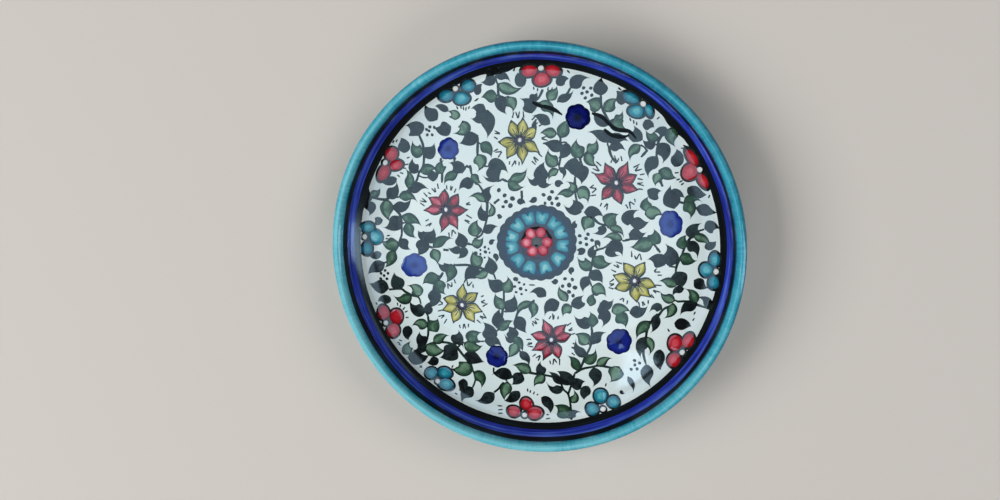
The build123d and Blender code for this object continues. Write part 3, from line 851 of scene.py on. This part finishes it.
# Stems, each a line of points.
STEMS = (
    ((25, 60), (25.2, 57), (26.3, 54), (28.5, 50.5)),
    ((13.5, 63), (12, 60.5), (9.5, 58.5)),
    ((3, 62.5), (1.5, 59.5), (-0.5, 57.8), (1.5, 57.5)),
    ((-14.4, 64.5), (-14.2, 61), (-13.6, 59)),
    ((10, 44.5), (10, 42), (10.3, 38), (9.5, 33.5)),
    ((17.5, 36.8), (18, 35)),
    ((15.8, 29.5), (15.8, 25), (16.3, 21.5), (17, 19)),
    ((-12.8, 28.2), (-10.5, 27.2)),
    ((-5, 23.8), (-4.8, 20.5)),
    ((-22.3, 44), (-22.5, 38), (-22, 33)),
    ((-25.5, 33.5), (-25, 30)),
    ((-27.2, 33.2), (-25, 32.3)),
    (
        (-22, 25.8), (-20.5, 23.5), (-18.8, 20), (-18.8, 15), (-19.2, 11), (-20.5, 7), (-21.5, 5.5),
        (-24, 4),
    ),
    ((-16, 18.5), (-14.8, 19.5), (-13.8, 20.3)),
    ((28.5, 40.5), (29.5, 37.5), (31.5, 34.8)),
    ((48.5, 46.2), (47, 43.5), (46.5, 40), (46.3, 37.5)),
    ((48, 28.5), (49, 26.2)),
    ((43, 40), (40.6, 37.2)),
    (
        (-46, 45), (-44.5, 41), (-44.2, 36), (-44.8, 32.5), (-46.3, 30.3), (-47.5, 27), (-50.5, 23.7),
        (-52.5, 22),
    ),
    ((-37.2, 36.2), (-37.4, 34.5)),
    ((-31.5, 36.5), (-32, 35)),
    ((-36.8, 30.5), (-37, 26.4)),
    ((-66.5, 20), (-61, 19.2), (-58, 20.3), (-55, 20.3)),
    (
        (-57.5, 16), (-55.3, 14), (-54.5, 12.5), (-54, 6), (-54.8, 3), (-56, 0), (-58, -3),
        (-59.8, -5.8), (-62, -7),
    ),
    ((-42.8, 0.5), (-41, 0)),
    ((-36.8, -0.6), (-34.5, -0.8)),
    ((-27, 2.2), (-25, 1.8)),
    ((-31.5, -6.8), (-26.5, -6.6), (-22, -7.6), (-19, -8.3), (-16.5, -9.5), (-15.3, -12)),
    ((-12, -17), (-12, -21), (-12.5, -25), (-13.2, -29), (-14.4, -33), (-16.5, -34)),
    ((-37, -10), (-38.5, -12.5), (-40.5, -15), (-41.3, -17.5)),
    ((-60, -18), (-55, -17.5), (-53, -18.7), (-50.3, -20), (-47.5, -20.8), (-46.5, -23.5)),
    ((-43.6, -28.5), (-43.4, -31.5), (-43.8, -37), (-45, -40.5), (-47, -43.5), (-48.5, -45.5)),
    (
        (-44.5, -41), (-41.8, -39.8), (-37, -39.3), (-34, -39.8), (-32, -40.7), (-28.8, -44.6),
        (-26, -47.5), (-24.8, -51), (-23.8, -53.5), (-24.2, -56), (-25, -58),
    ),
    ((-22, -38.2), (-24.5, -38.6)),
    ((0.5, -20), (-0.8, -21), (-6, -25), (-7.2, -30), (-7.2, -37), (-5.3, -41.5)),
    (
        (-16.2, -49), (-15.8, -51.5), (-12, -53.5), (-8, -52.3), (-5.5, -51.2), (-3.5, -50), (0, -50.5),
        (5, -51), (8, -51.5), (11, -53.2), (12.5, -56.5), (14.5, -58.5), (15.5, -63), (16, -69),
    ),
    ((-12, -55), (-14, -57.8), (-16, -59.6)),
    ((17, -49.5), (20, -47.5), (23.5, -46.5), (27, -45.7), (31.5, -46.3), (34, -45.8)),
    ((17, -49.5), (15.8, -54), (14.5, -58.5)),
    ((23.3, -30), (23.6, -33), (23, -38), (21, -42.5), (20.2, -44.8), (19, -48)),
    ((46.3, -26.4), (45, -30), (44.7, -32.6), (44, -36.5), (43.9, -40), (44.9, -44)),
    ((54, -20), (51, -21.5), (48.5, -25), (46.3, -26.6)),
    ((56, -18.2), (60, -18), (63, -19), (68.5, -20.5)),
    ((57, -0.5), (58, 3), (59, 5), (60.5, 7.5), (62.5, 9.3), (65, 10.3)),
    ((57, -0.5), (55.5, -3.5), (55, -7)),
    ((60, 19), (62, 18.2)),
    ((54.3, 20.8), (57, 20.1)),
    ((22, 14.8), (25, 11.8), (27.5, 11)),
    ((35.5, 5.2), (38, 5.8), (41, 6.5)),
    ((47.5, 2.8), (49, 0.8)),
    ((27.5, 2), (24, 0.5), (23.3, -3), (22.3, -8), (21.8, -10)),
)
# Dots: x, y, radius.
DOTS = (
    (-14, 23.8, 0.8), (-11.7, 21.8, 0.8), (-8.6, 20.6, 0.95), (-11.2, 19.3, 0.8), (-9.4, 17.8, 0.95),
    (-12.3, 17.3, 0.65), (3.7, 22.3, 0.75), (7, 23.5, 0.75), (6, 21, 1), (8.8, 21, 0.75),
    (4.3, 19, 0.6), (7, 19, 0.7), (9.5, 18.6, 0.9), (18, 6.5, 0.7), (21.2, 7.2, 0.7), (20.5, 5.5, 0.7),
    (22.8, 4.9, 0.7), (18.3, 3.8, 0.7), (20.7, 3.2, 0.7), (12.5, -10.8, 0.7), (15.4, -11, 0.7),
    (11.6, -13.8, 0.7), (14.2, -13.3, 0.95), (16.5, -14.2, 0.9), (14.2, -16, 0.8), (15.8, -17.5, 0.75),
    (-5.8, -13, 0.55), (-3.8, -13.7, 0.5), (-7.6, -14.7, 0.6), (-5.2, -15.5, 0.75), (-3, -16, 0.5),
    (-7, -17, 0.55), (-4.8, -17.7, 0.5), (-23.5, -1.7, 0.85), (-21.5, -2, 0.5), (-19.7, 0.9, 0.55),
    (-18.2, 0.3, 0.45), (-19.5, -1, 0.7), (-21.5, -0.3, 0.45), (-17.8, -1.3, 0.4), (-19.8, -3.3, 0.45),
    (18.5, 63, 0.65), (21.2, 62.9, 0.65), (17.9, 61, 0.65), (19.8, 61.5, 0.65), (21.6, 60.3, 0.65),
    (19.2, 59.3, 0.65), (-41.6, 48.3, 0.65), (-39.8, 48.1, 0.6), (-43, 47.3, 0.6), (-42, 46.8, 0.6),
    (-42.7, 45.2, 0.6), (-40.7, 45.2, 0.6), (-61.5, -10, 0.6), (-63.3, -11.3, 0.6), (-60.3, -11.2, 0.6),
    (-62, -12.2, 0.6), (-63.5, -13.5, 0.6), (-60.8, -13.5, 0.6), (40.5, -42.8, 0.65),
    (42.5, -43.7, 0.65), (40.7, -44.6, 0.65), (39.3, -46.5, 0.65), (41.6, -46.2, 0.65),
)
# Short dashes: x, y, direction in degrees, length.
DASHES = (
    (-13.5, -65.3, 0, 2.2), (-13.3, -66.9, 10, 2.2), (-13.3, -68.4, 0, 2.1), (6.3, -67.7, 0, 1.2),
    (6.5, -69.3, 15, 1.8), (-2.1, -57.7, 95, 1.4), (-1, -58.3, 80, 1.3), (0.5, -58.8, 70, 1.4),
    (2, -59.4, 45, 0.9), (-33.5, -49.5, 60, 1.4), (-32, -50.2, 60, 1.3), (-32, -61.2, -30, 1.4),
    (-47, -50.3, 45, 1.5), (-47, -50.3, -45, 1.4), (-56.5, -24, 100, 1.4), (-55.3, -24.7, 75, 1.5),
    (-53.8, -25.7, 50, 1.6), (-52.8, -27, 30, 1.5), (-52.5, -29.5, 10, 1.4), (-65.5, -24, 120, 1.3),
    (-55.5, -39.5, -20, 1.5), (-56.3, -40.5, -25, 1.4), (-55.8, -41.3, -30, 1.2), (-59.7, 4.5, 10, 1.5),
    (-60.3, 3.2, -10, 1.4), (-50.7, 36.2, 20, 1.5), (-51.3, 33.5, 10, 1.6), (-52.3, 32, -5, 1.6),
    (-53.5, 30, -20, 1.6), (-54.8, 28.8, -40, 1.5), (-56.5, 42.5, 60, 1.3), (-55.2, 42.8, 60, 1.3),
    (-8, 70, 60, 1.4), (12.7, 69, -50, 1.5), (-0.5, 63, 100, 1.2), (1, 62.5, 90, 1.3),
    (5, 62.8, 80, 1.4), (6.5, 62.7, 70, 1.3), (36.2, 51.3, 110, 1.5), (37.5, 50.4, 100, 1.5),
    (38.6, 49.8, 95, 1.4), (46.5, 51.8, 40, 1.4), (32, 62.5, -40, 1.5), (54, 31.5, 10, 1.5),
    (54.7, 29, 20, 1.6), (55.7, 28.3, 30, 1.5), (56.3, 27.3, 40, 1.4), (56.5, 41.5, -30, 1.4),
    (55.9, 40.6, -20, 1.4), (66.2, 22.8, 70, 1.3), (29.5, -53.5, 80, 1.5), (53.2, -29.8, 120, 1.5),
    (62.8, -22.5, 70, 1.4), (62.5, -25, 60, 1.4), (-29, 56, 100, 1.5), (-28, 55.5, 95, 1.5),
    (-27, 55.3, 80, 1.5), (-22.5, 59, 20, 1.3), (-23, 58.5, 20, 1.3), (-0.55, -13.8, 0, 2.5),
    (-30.5, 55.8, 110, 1.4), (-25.8, 55.8, 65, 1.3),
)
# Flowers round the edge: colour, middle dot, then petals as x, y, half length,
# half width and tilt.
BORDER_FLOWERS = (
    ("red", (2.3, 70.4),
     ((-2.2, 69.4, 3, 1.9, 5), (2.6, 66.3, 3.1, 2.3, 0), (6.8, 69.4, 2.8, 1.9, -10))),
    ("sea", (40.8, 57),
     ((36.2, 59.2, 3.2, 1.7, -25), (38.4, 54.3, 2.8, 2.2, -15), (43, 54.6, 1.4, 2.1, 20))),
    ("red", (62.3, 32.8),
     ((59.3, 37.2, 3.3, 1.6, -55), (58.8, 31.8, 2.7, 3, 0), (63.7, 28.6, 2.8, 1.6, -60))),
    ("sea", (70, -5.8),
     ((66.4, -5.3, 2.3, 2.6, 0), (69.3, -1.2, 1.8, 2.6, 0), (69.3, -10, 1.8, 2.5, 0))),
    ("red", (58.7, -38.3),
     ((55.9, -34.8, 2.6, 3, 0), (60.8, -33.5, 2, 2.8, -20), (55.7, -41.5, 2.2, 2.8, -20))),
    ("sea", (28.6, -63.7),
     ((27.5, -58.3, 2.6, 2.7, 0), (32.6, -60.4, 2.4, 2.2, 0), (24.3, -64, 2.5, 2.3, 0))),
    ("red", (-3.3, -68.5),
     ((-7.7, -67.2, 2.5, 2.2, 0), (-2.5, -63.7, 2.4, 2.5, 0), (1, -67.3, 3, 2.5, 0))),
    ("sea", (-39.8, -56.2),
     ((-42.5, -52.8, 2.4, 2.3, 0), (-36.8, -52.4, 2.8, 2.3, 0), (-36.2, -57.3, 3, 2.3, -15))),
    ("red", (-61.6, -32.2),
     ((-62.5, -27.8, 2.4, 2.8, 0), (-57.2, -29.3, 2.8, 3, 0), (-58.5, -35.3, 2.6, 2.7, 0))),
    ("sea", (-69.7, 3.8),
     ((-68.3, 7.7, 2.5, 2.1, 0), (-65, 3.9, 2.7, 2.7, 0), (-68.8, -1, 2.1, 2.6, 0))),
    ("red", (-60.2, 34.1),
     ((-57.5, 37.5, 2.3, 2.7, -20), (-55.8, 33.2, 2.7, 1.9, 20), (-61, 30, 3.4, 2, 60))),
    ("sea", (-31, 63),
     ((-34.7, 60.3, 2.7, 2, 20), (-28.7, 59.3, 2.9, 2.3, 0), (-26, 64, 2.5, 2, 20))),
)
# Star shaped flowers: middle, then the directions of the petals in degrees.
YELLOW_STARS = (
    ((-5.8, 43.3), (124, 75, 30, -27, -76, -132, -167)),
    ((39.6, -10.7), (113, 69, -7, -51, -86, -149, 171)),
    ((-29.2, -23.3), (92, 44, -12, -50, -123, -166, 155)),
)
RED_STARS = (
    ((31.6, 27.3), (126, 58, 15, -25, -83, -133, 161)),
    ((7.4, -36.1), (109, 54, 17, -59, -108, -145, 163)),
    ((-35.5, 15.6), (102, 43, -4, -53, -95, 180, 138)),
)
# Cobalt flowers: middle, half width, half height, depth of colour, how domed. The depth is partly
# painted
# reflection: a bloom that shows less mirrored light is painted darker and duller.
COBALT_FLOWERS = (
    (16.5, 52.2, 4.8, 4.7, 1.0, 0.6),
    (52.5, 12.0, 4.5, 5.1, 0.1, 0.06),
    (34.3, -35.3, 4.9, 5.2, 0.5, 0.3),
    (-14.8, -44.2, 4.4, 4.8, 0.7, 0.45),
    (-49.0, -7.5, 5.4, 4.9, 0.0, 0.05),
    (-34.2, 39.8, 4.3, 4.2, 0.2, 0.15),
)
# The medallion, from its rim in: the black ground, a teal shade, the turquoise tails,
# a plum middle and the rosette with its grey heart.
MEDALLION_RADIUS, SHADE_RADIUS, TAIL_RADIUS, PLUM_RADIUS = 15.4, 13.1, 10.2, 6.9
SCALLOPS = 24
TAIL_ANGLES = (109, 80, 50, 25, -4, -36, -71, -106, -137, -168, 167, 139)
ROSETTE_ANGLES = (127, 68, 1, -52, -114, -175)
ROSETTE_CENTRE = (1.2, 3.6)
ROSETTE_REACH = 4.05
# Rosette gaps: dull black arcs, partly painted dark reflection. Directions, and each arc as turn and
# reach.
ROSETTE_GAPS = (97, 153, 34)
GAP_ARC = ((-20, 6.1), (0, 5.5), (20, 6.1))
# The dull black smudge on the rosette's heart: x, y, half width, half height, tilt.
SMUDGE = (1.0, 2.2, 0.75, 0.4, 5)
# Deep, dull black lines laid over the painting where the glaze mirrors no light: painted dark
# reflection.
UNREFLECTING_STROKES = (
    ((21.8, 53.6), (25.5, 52.3), (28.5, 49.5), (31.5, 47.5), (36, 46.8), (38.6, 44.2)),
    ((26.5, 47.6), (29.5, 45.4), (33.5, 44.8), (36, 45.4)),
    ((-1, 57.8), (2, 56.4), (5, 55.8), (8, 54.6), (10.5, 53)),
)
# A leaf whose foot is between these distances from the vine gets a stalk.
STALK_REACH = (0.7, 4.2)

# Width of the dark line round a filled shape, and heights of the coats of paint.
LINE = 0.45
LOW, MIDDLE, HIGH = 0.025, 0.045, 0.065
# Leaves are brushed a little fuller than their noted widths. Their bellies grow from
# the foot and shrink to the tip with these powers.
FULL = 1.27
LEAF_BELLY, TEARDROP_BELLY = (1.0, 1.85), (0.7, 1.15)
# Half widths of a star petal at distances from the flower's middle, and at its tip.
PETAL_WIDTHS = ((0, 0.8), (2, 1.5), (3.4, 2.2), (5.0, 2.4), (6.2, 1.9), (7.4, 1.0))
PETAL_TIP = 0.06
# A petal's colour stays inside this share of its distance from the middle, so that
# dark gaps part the petals.
PETAL_SPREAD = 0.36
# Veins of a star petal: how far each turns aside and how far out it ends.
VEINS = ((0, 5.4), (-14, 4.2), (13, 4.0))


# ------------------------------------------------------------ brush shapes
def leaf(foot_x, foot_y, tip_x, tip_y, width, bow, flick, inset=0.0, belly=LEAF_BELLY):
    """Rows of points across a leaf.

    An inset narrows it to fill an outline, and its sign says to which side it lies.
    """
    foot, tip = np.array((foot_x, foot_y)), np.array((tip_x, tip_y))
    run = tip - foot
    side = np.array((-run[1], run[0])) / np.linalg.norm(run)
    share = np.linspace(0.1, 0.8, 13) if inset else np.linspace(0, 1, 17)
    near = foot + 0.35 * run + 1.2 * bow * side
    far = foot + 0.75 * run + 0.9 * bow * side
    at = share[:, None]
    line = (1 - at) ** 3 * foot + 3 * at * (1 - at) ** 2 * near
    line = line + 3 * at**2 * (1 - at) * far + at**3 * tip
    line = line + flick * np.clip((at - 0.45) / 0.55, 0, 1) ** 2 * side
    grow, shrink = belly
    peak = grow / (grow + shrink)
    swell = share**grow * (1 - share) ** shrink / (peak**grow * (1 - peak) ** shrink)
    half = np.maximum(width * FULL / 2 * swell - abs(inset), 0.04)[:, None]
    across = left_of(line, share)
    line = line + across * inset * 0.35
    return np.stack([line + across * half * k for k in (1, 0.55, 0, -0.55, -1)], axis=1)


def tip_flick():
    """How far a brush was flicked aside at a leaf's tip."""
    return rng.choice((-1, 1)) * rng.uniform(1.2, 2.6)


def with_bow(place, most):
    """A leaf's numbers, with a chance bow up to a limit where none is noted."""
    return place if len(place) == 6 else place + (rng.uniform(-most, most),)


def ellipse(x, y, half_long, half_wide, tilt=0, lobes=0, depth=0.0, points=48):
    """An outline a little out of true, with lobes if asked for."""
    turn = np.linspace(0, 2 * math.pi, points, endpoint=False)
    wobble = 1 + 0.03 * np.sin(2 * turn + rng.uniform(0, 6))
    wobble = wobble + 0.02 * np.sin(3 * turn + rng.uniform(0, 6))
    if lobes:
        wobble = wobble + depth * (np.abs(np.sin(lobes * turn / 2 + rng.uniform(0, 3))) - 0.6)
    flat = np.column_stack((half_long * wobble * np.cos(turn), half_wide * wobble * np.sin(turn)))
    return flat @ np.array((unit(tilt), unit(tilt + 90))) + (x, y)


def star_petal(centre, angle, reach, bend, inset=0.0):
    """Rows of points across one pointed petal of a star flower."""
    start, stop = (2.0, reach - 1.2) if inset else (0.6, reach)
    radius = np.linspace(start, stop, 14)
    half = np.interp(radius, *np.transpose(PETAL_WIDTHS + ((reach, PETAL_TIP),)))
    if inset:
        half = np.maximum(np.minimum(half - inset, PETAL_SPREAD * radius), 0.05)
    half = half[:, None]
    out, across = unit(angle), unit(angle + 90)
    line = centre + radius[:, None] * out + (bend * (radius / reach) ** 4)[:, None] * across
    return np.stack([line + across * half * k for k in (1, 0.5, 0, -0.5, -1)], axis=1)


def fish_tail(angle):
    """Outline of a medallion petal: narrow inside, forked outside."""
    half = rng.uniform(2.25, 2.6)
    notch = rng.uniform(11.3, 11.8)
    corners = (
        (7.9, 1.4), (8.4, 1.85), (10.0, half - 0.15), (11.9, half), (12.5, half - 0.5),
        (12.3, 0.6), (notch, 0.0), (12.3, -0.6), (12.5, 0.5 - half), (11.9, -half),
        (10.0, 0.15 - half), (8.4, -1.85), (7.9, -1.4), (7.6, 0.0),
    )
    loop = spline(corners + corners[:1], 5)[:-1]
    out, across = unit(angle), unit(angle + 90)
    return np.array(CENTRE) + loop[:, :1] * out + loop[:, 1:] * across


# ---------------------------------------------------------------- painting
def add_stalks(paint, leaves, vine):
    """Short strokes that join the foot of each leaf to the vine beside it."""
    for x, y, *_ in leaves:
        gaps = np.linalg.norm(vine - (x, y), axis=1)
        nearest = int(np.argmin(gaps))
        if STALK_REACH[0] < gaps[nearest] < STALK_REACH[1]:
            foot = np.array((x, y))
            bend = (foot + vine[nearest]) / 2 + unit(rng.uniform(0, 360)) * 0.3
            paint.stroke((vine[nearest], bend, foot), 0.7, LOW, ends=(0.9, 0.9))


stems = Paint("vine_stems", LEAF_LINE)
for points in STEMS:
    stems.stroke(points, 1.05, LOW, ends=(0.8, 0.7))
add_stalks(stems, GREEN_LEAVES + DARK_LEAVES, np.vstack([spline(points) for points in STEMS]))
stems.finish("black_paint")

outlines = Paint("leaf_outlines", LEAF_LINE)
greens = Paint("green_leaves", LEAF_GREEN)
for place in GREEN_LEAVES:
    # The green lies a little to one side, so its line is heavier on the other.
    tone, flick, side = rng.random(), tip_flick(), rng.choice((-1, 1))
    bowed = with_bow(place, 0.8)
    outlines.patch(leaf(*bowed, flick), MIDDLE, tone=tone)
    greens.patch(leaf(*bowed, flick, LINE * side), MIDDLE + 0.015, tone=tone)
outlines.finish("black_paint")
greens.finish("green_paint")

darks = Paint("dark_leaves", LEAF_DARK)
for place in DARK_LEAVES:
    bowed = with_bow(place, 0.8)
    darks.patch(leaf(*bowed, tip_flick()), MIDDLE)
for place in TEARDROPS:
    bowed = with_bow(place, 0.5)
    darks.patch(leaf(*bowed, tip_flick() / 2, belly=TEARDROP_BELLY), MIDDLE)
darks.finish("black_paint")

# Painted dark reflection: dull black strokes where the glaze mirrors no light.
unreflecting = Paint("unreflecting_strokes", UNREFLECTING_BLACK)
for points in UNREFLECTING_STROKES:
    unreflecting.stroke(points, 1.6, HIGH, ends=(0.5, 0.4))

dots = Paint("dots_and_dashes", INK)
for x, y, radius in DOTS:
    blot = ellipse(x, y, radius * 1.1, radius * 0.95, rng.uniform(0, 180), points=16)
    dots.disc((x, y), blot, LOW, rings=2)
for x, y, angle, length in DASHES:
    reach = unit(angle) * length / 2
    dots.stroke(((x, y) - reach, (x, y) + reach), 0.6, LOW)

star_lines = Paint("star_flower_lines", INK)
star_hearts = Paint("star_flower_hearts", HEART)
white_dots = Paint("white_dots", DOT_WHITE)


def star_flowers(name, flowers, material, slot, node):
    """Star flowers of one colour, with their outlines, veins and ticks."""
    fills = Paint(name, material)
    for centre, angles in flowers:
        for angle in angles:
            reach, bend = rng.uniform(8.3, 9.6), rng.choice((-1, 1)) * rng.uniform(0.4, 1.7)
            star_lines.patch(star_petal(centre, angle, reach, bend), LOW)
            fills.patch(star_petal(centre, angle, reach, bend, 0.5), MIDDLE, dome=0.02)
            for turn, far in VEINS:
                out = (1.7, 2.8, far * rng.uniform(0.85, 1.1))
                line = [centre + unit(angle + turn * r / 4) * r for r in out]
                star_lines.stroke(line, 0.36, HIGH, ends=(1, 0.3))
        heart = ellipse(*centre, 2.0, 1.85, lobes=9, depth=0.35)
        star_hearts.disc(centre, heart, HIGH, dome=0.03)
        dot = ellipse(centre[0], centre[1] + 0.1, 0.7, 0.85, rng.uniform(-20, 20), points=20)
        white_dots.disc(centre, dot, HIGH + 0.045, dome=0.05, rings=3)
        ordered = sorted(angle % 360 for angle in angles)
        for first, second in zip(ordered, ordered[1:] + [ordered[0] + 360]):
            ticks_between(centre, first, second)
    fills.finish(slot, node)


def ticks_between(centre, first, second):
    """An open V of two dashes, and loose dashes beside it, between two petals."""
    gap = (first + second) / 2 + rng.uniform(-5, 5)
    root = centre + unit(gap) * rng.uniform(7.6, 8.6)
    spread = rng.uniform(10, 26)
    for turn in (-spread, spread):
        aim = unit(gap + turn + rng.uniform(-6, 6))
        dots.stroke((root + aim * 0.2, root + aim * rng.uniform(1.7, 3.0)), 0.6, LOW, ends=(1, 0.5))
    for side in (-1, 1):
        if rng.random() < 0.85:
            foot = root + unit(gap + 90) * side * rng.uniform(1.5, 2.3)
            foot = foot + unit(gap) * rng.uniform(-0.2, 1.0)
            aim = unit(gap + rng.uniform(-28, 28))
            dots.stroke((foot, foot + aim * rng.uniform(1.3, 2.7)), 0.56, LOW, ends=(1, 0.5))


star_flowers("yellow_stars", YELLOW_STARS, YELLOW, "yellow_paint", "yellow_star_flowers")
star_flowers("red_stars", RED_STARS, CRIMSON, "crimson_paint", "red_star_flowers")

cobalt_flowers = Paint("cobalt_blooms", COBALT)
for x, y, half_wide, half_high, dark, dome in COBALT_FLOWERS:
    shape = ellipse(x, y, half_wide, half_high, lobes=7, depth=0.09, points=112)
    cobalt_flowers.disc((x, y), shape, LOW, dome, dark, rings=12)
cobalt_flowers.finish("cobalt_paint", "cobalt_flowers")

petal_lines = Paint("border_flower_lines", INK)
border_fills = {
    "red": Paint("red_border_petals", RED),
    "sea": Paint("turquoise_border_petals", SEA),
}
for colour, (dot_x, dot_y), petals in BORDER_FLOWERS:
    for x, y, half_long, half_wide, tilt in petals:
        filled = ellipse(x, y, half_long * 1.04, half_wide * 1.06, tilt)
        outline = (x, y) + (filled - (x, y)) * (1 + 1.5 * LINE / min(half_long, half_wide))
        petal_lines.disc((x, y), outline, LOW)
        border_fills[colour].disc((x, y), filled, MIDDLE, dome=0.08)
    petal_lines.disc((dot_x, dot_y), ellipse(dot_x, dot_y, 1.8, 1.7), LOW)
    heart = ellipse(dot_x, dot_y, 1.1, 0.95, math.degrees(math.atan2(dot_y, dot_x)) + 90)
    white_dots.disc((dot_x, dot_y), heart, HIGH, dome=0.05, rings=3)
petal_lines.finish("black_paint")
border_fills["red"].finish("red_paint", "red_border_flowers")
border_fills["sea"].finish("turquoise_paint", "turquoise_border_flowers")

ground = Paint("medallion_scallops", GROUND)
scalloped = ellipse(
    *CENTRE, MEDALLION_RADIUS, MEDALLION_RADIUS, lobes=SCALLOPS, depth=0.035, points=288
)
ground.disc(CENTRE, scalloped, LOW, dome=0.03, tone=0.5, rings=10)
ground.finish("black_paint", "medallion_ground")

shade = Paint("medallion_shade", TEAL)
waved = ellipse(*CENTRE, SHADE_RADIUS, SHADE_RADIUS, lobes=12, depth=0.03, points=144)
shade.disc(CENTRE, waved, MIDDLE, tone=0.5)
shade.finish("turquoise_paint")

plum = Paint("medallion_plum", PLUM)
waved = ellipse(*CENTRE, PLUM_RADIUS, PLUM_RADIUS, lobes=9, depth=0.05, points=90)
plum.disc(CENTRE, waved, MIDDLE + 0.012, tone=0.5)
plum.finish("crimson_paint")

tails = Paint("medallion_tails", TAIL)
for angle in TAIL_ANGLES:
    tails.disc(CENTRE + unit(angle) * TAIL_RADIUS, fish_tail(angle), HIGH, dome=0.05)
tails.finish("turquoise_paint", "medallion_petals")

rosette = Paint("rosette_petals", ROSE)
for angle in ROSETTE_ANGLES:
    x, y = ROSETTE_CENTRE + unit(angle) * ROSETTE_REACH
    rosette.disc((x, y), ellipse(x, y, 2.2, 2.1, angle), HIGH, dome=0.12)
rosette.finish("red_paint", "medallion_rosette")

# Painted dark reflection: dull black arcs in the gaps between the rosette's petals.
for angle in ROSETTE_GAPS:
    arc = [ROSETTE_CENTRE + unit(angle + turn) * reach for turn, reach in GAP_ARC]
    unreflecting.stroke(arc, 1.1, HIGH + 0.03, ends=(0.4, 0.4))

heart = Paint("rosette_heart", GREY)
waved = ellipse(*ROSETTE_CENTRE, 2.6, 2.5, lobes=6, depth=0.1)
heart.disc(ROSETTE_CENTRE, waved, HIGH + 0.03, dome=0.04, tone=1.0)
heart.finish("black_paint")
unreflecting.disc(SMUDGE[:2], ellipse(*SMUDGE, points=20), HIGH + 0.08, rings=2)
unreflecting.finish("black_paint")

for paint in (dots, star_lines, star_hearts):
    paint.finish("black_paint")
white_dots.finish("white_glaze")

# ------------------------------------------------------------ light, camera
scene = bpy.context.scene
scene.view_settings.view_transform = "Standard"

# The floor is a square this far from the middle to its sides, in metres.
FLOOR_REACH = 9
corners = [(x * FLOOR_REACH, y * FLOOR_REACH, 0) for x, y in ((-1, -1), (1, -1), (1, 1), (-1, 1))]
floor_mesh = bpy.data.meshes.new("table_top")
floor_mesh.from_pydata(corners, [], [(0, 1, 2, 3)])
table_top = bpy.data.objects.new("table_top", floor_mesh)
bpy.context.collection.objects.link(table_top)
pale = bpy.data.materials.new("pale_floor")
pale.use_nodes = True
pale_shader = pale.node_tree.nodes["Principled BSDF"]
pale_shader.inputs["Base Color"].default_value = rgb(214, 208, 200)
pale_shader.inputs["Roughness"].default_value = 0.7
floor_mesh.materials.append(pale)

world = bpy.data.worlds.new("studio")
world.use_nodes = True
background = world.node_tree.nodes["Background"]
background.inputs["Color"].default_value = (0.9, 0.95, 1.0, 1)
background.inputs["Strength"].default_value = 0.10
scene.world = world

# Colours of the daylight that the glaze mirrors and of the light on the paint.
COOL, NEUTRAL = (0.52, 0.77, 1.0), (1.0, 0.995, 1.0)


def soft_light(name, place, size, radiance, mirrored=True, down=False, shape="RECTANGLE"):
    """A softbox that the glaze mirrors, or one that only lights the colours.

    It points at the middle of the plate's foot, or straight down.
    """
    lamp = bpy.data.lights.new(name, "AREA")
    lamp.shape = shape
    lamp.size, lamp.size_y = size
    lamp.energy = radiance * math.pi * size[0] * size[1]
    lamp.color = COOL if mirrored else NEUTRAL
    aim = Vector((0, 0, -place[2])) if down else -Vector(place)
    lamp_object = bpy.data.objects.new(name, lamp)
    lamp_object.location = place
    lamp_object.rotation_euler = aim.to_track_quat("-Z", "Y").to_euler()
    lamp_object.visible_glossy = mirrored
    lamp_object.visible_diffuse = not mirrored
    bpy.context.collection.objects.link(lamp_object)


# Name, place, size in metres and radiance. The glaze mirrors the box overhead, the
# gleams and the windows. The keys and the fill light the paint.
soft_light("overhead_box", (-0.200, -0.178, 1.5), (0.69, 0.70), 2.0, down=True, shape="ELLIPSE")
soft_light("left_gleam", (-0.63, -0.22, 1.5), (0.12, 0.20), 7.0, down=True)
soft_light("right_gleam", (0.05, -0.57, 1.5), (0.09, 0.13), 6.0, down=True, shape="ELLIPSE")
soft_light("window_wide", (1.45, 0.75, 1.22), (1.1, 0.5), 1.5)
soft_light("window_tall", (1.4, -0.30, 0.78), (0.40, 1.5), 6.5)
soft_light("key_left", (-1.6, -0.2, 1.3), (1.6, 1.2), 6.0, mirrored=False)
soft_light("key_right", (1.5, 0.9, 1.3), (1.2, 1.0), 4.2, mirrored=False)
soft_light("fill_front", (0.3, -1.8, 1.2), (1.6, 0.9), 3.0, mirrored=False)

CAMERA_PLACE = Vector((0.0397, 0.0530, 0.3104))
CAMERA_TARGET = Vector((-0.01355, -0.00005, 0.0090))
camera = bpy.data.cameras.new("camera")
camera.lens = 28.08
camera.sensor_width = 36
camera.clip_start = 0.01
camera_object = bpy.data.objects.new("camera", camera)
forward = (CAMERA_TARGET - CAMERA_PLACE).normalized()
right = forward.cross(Vector((0, 1, 0))).normalized()
upward = right.cross(forward)
camera_object.matrix_world = Matrix.Translation(CAMERA_PLACE) @ Matrix(
    (right, upward, -forward)
).transposed().to_4x4()
bpy.context.collection.objects.link(camera_object)
scene.camera = camera_object
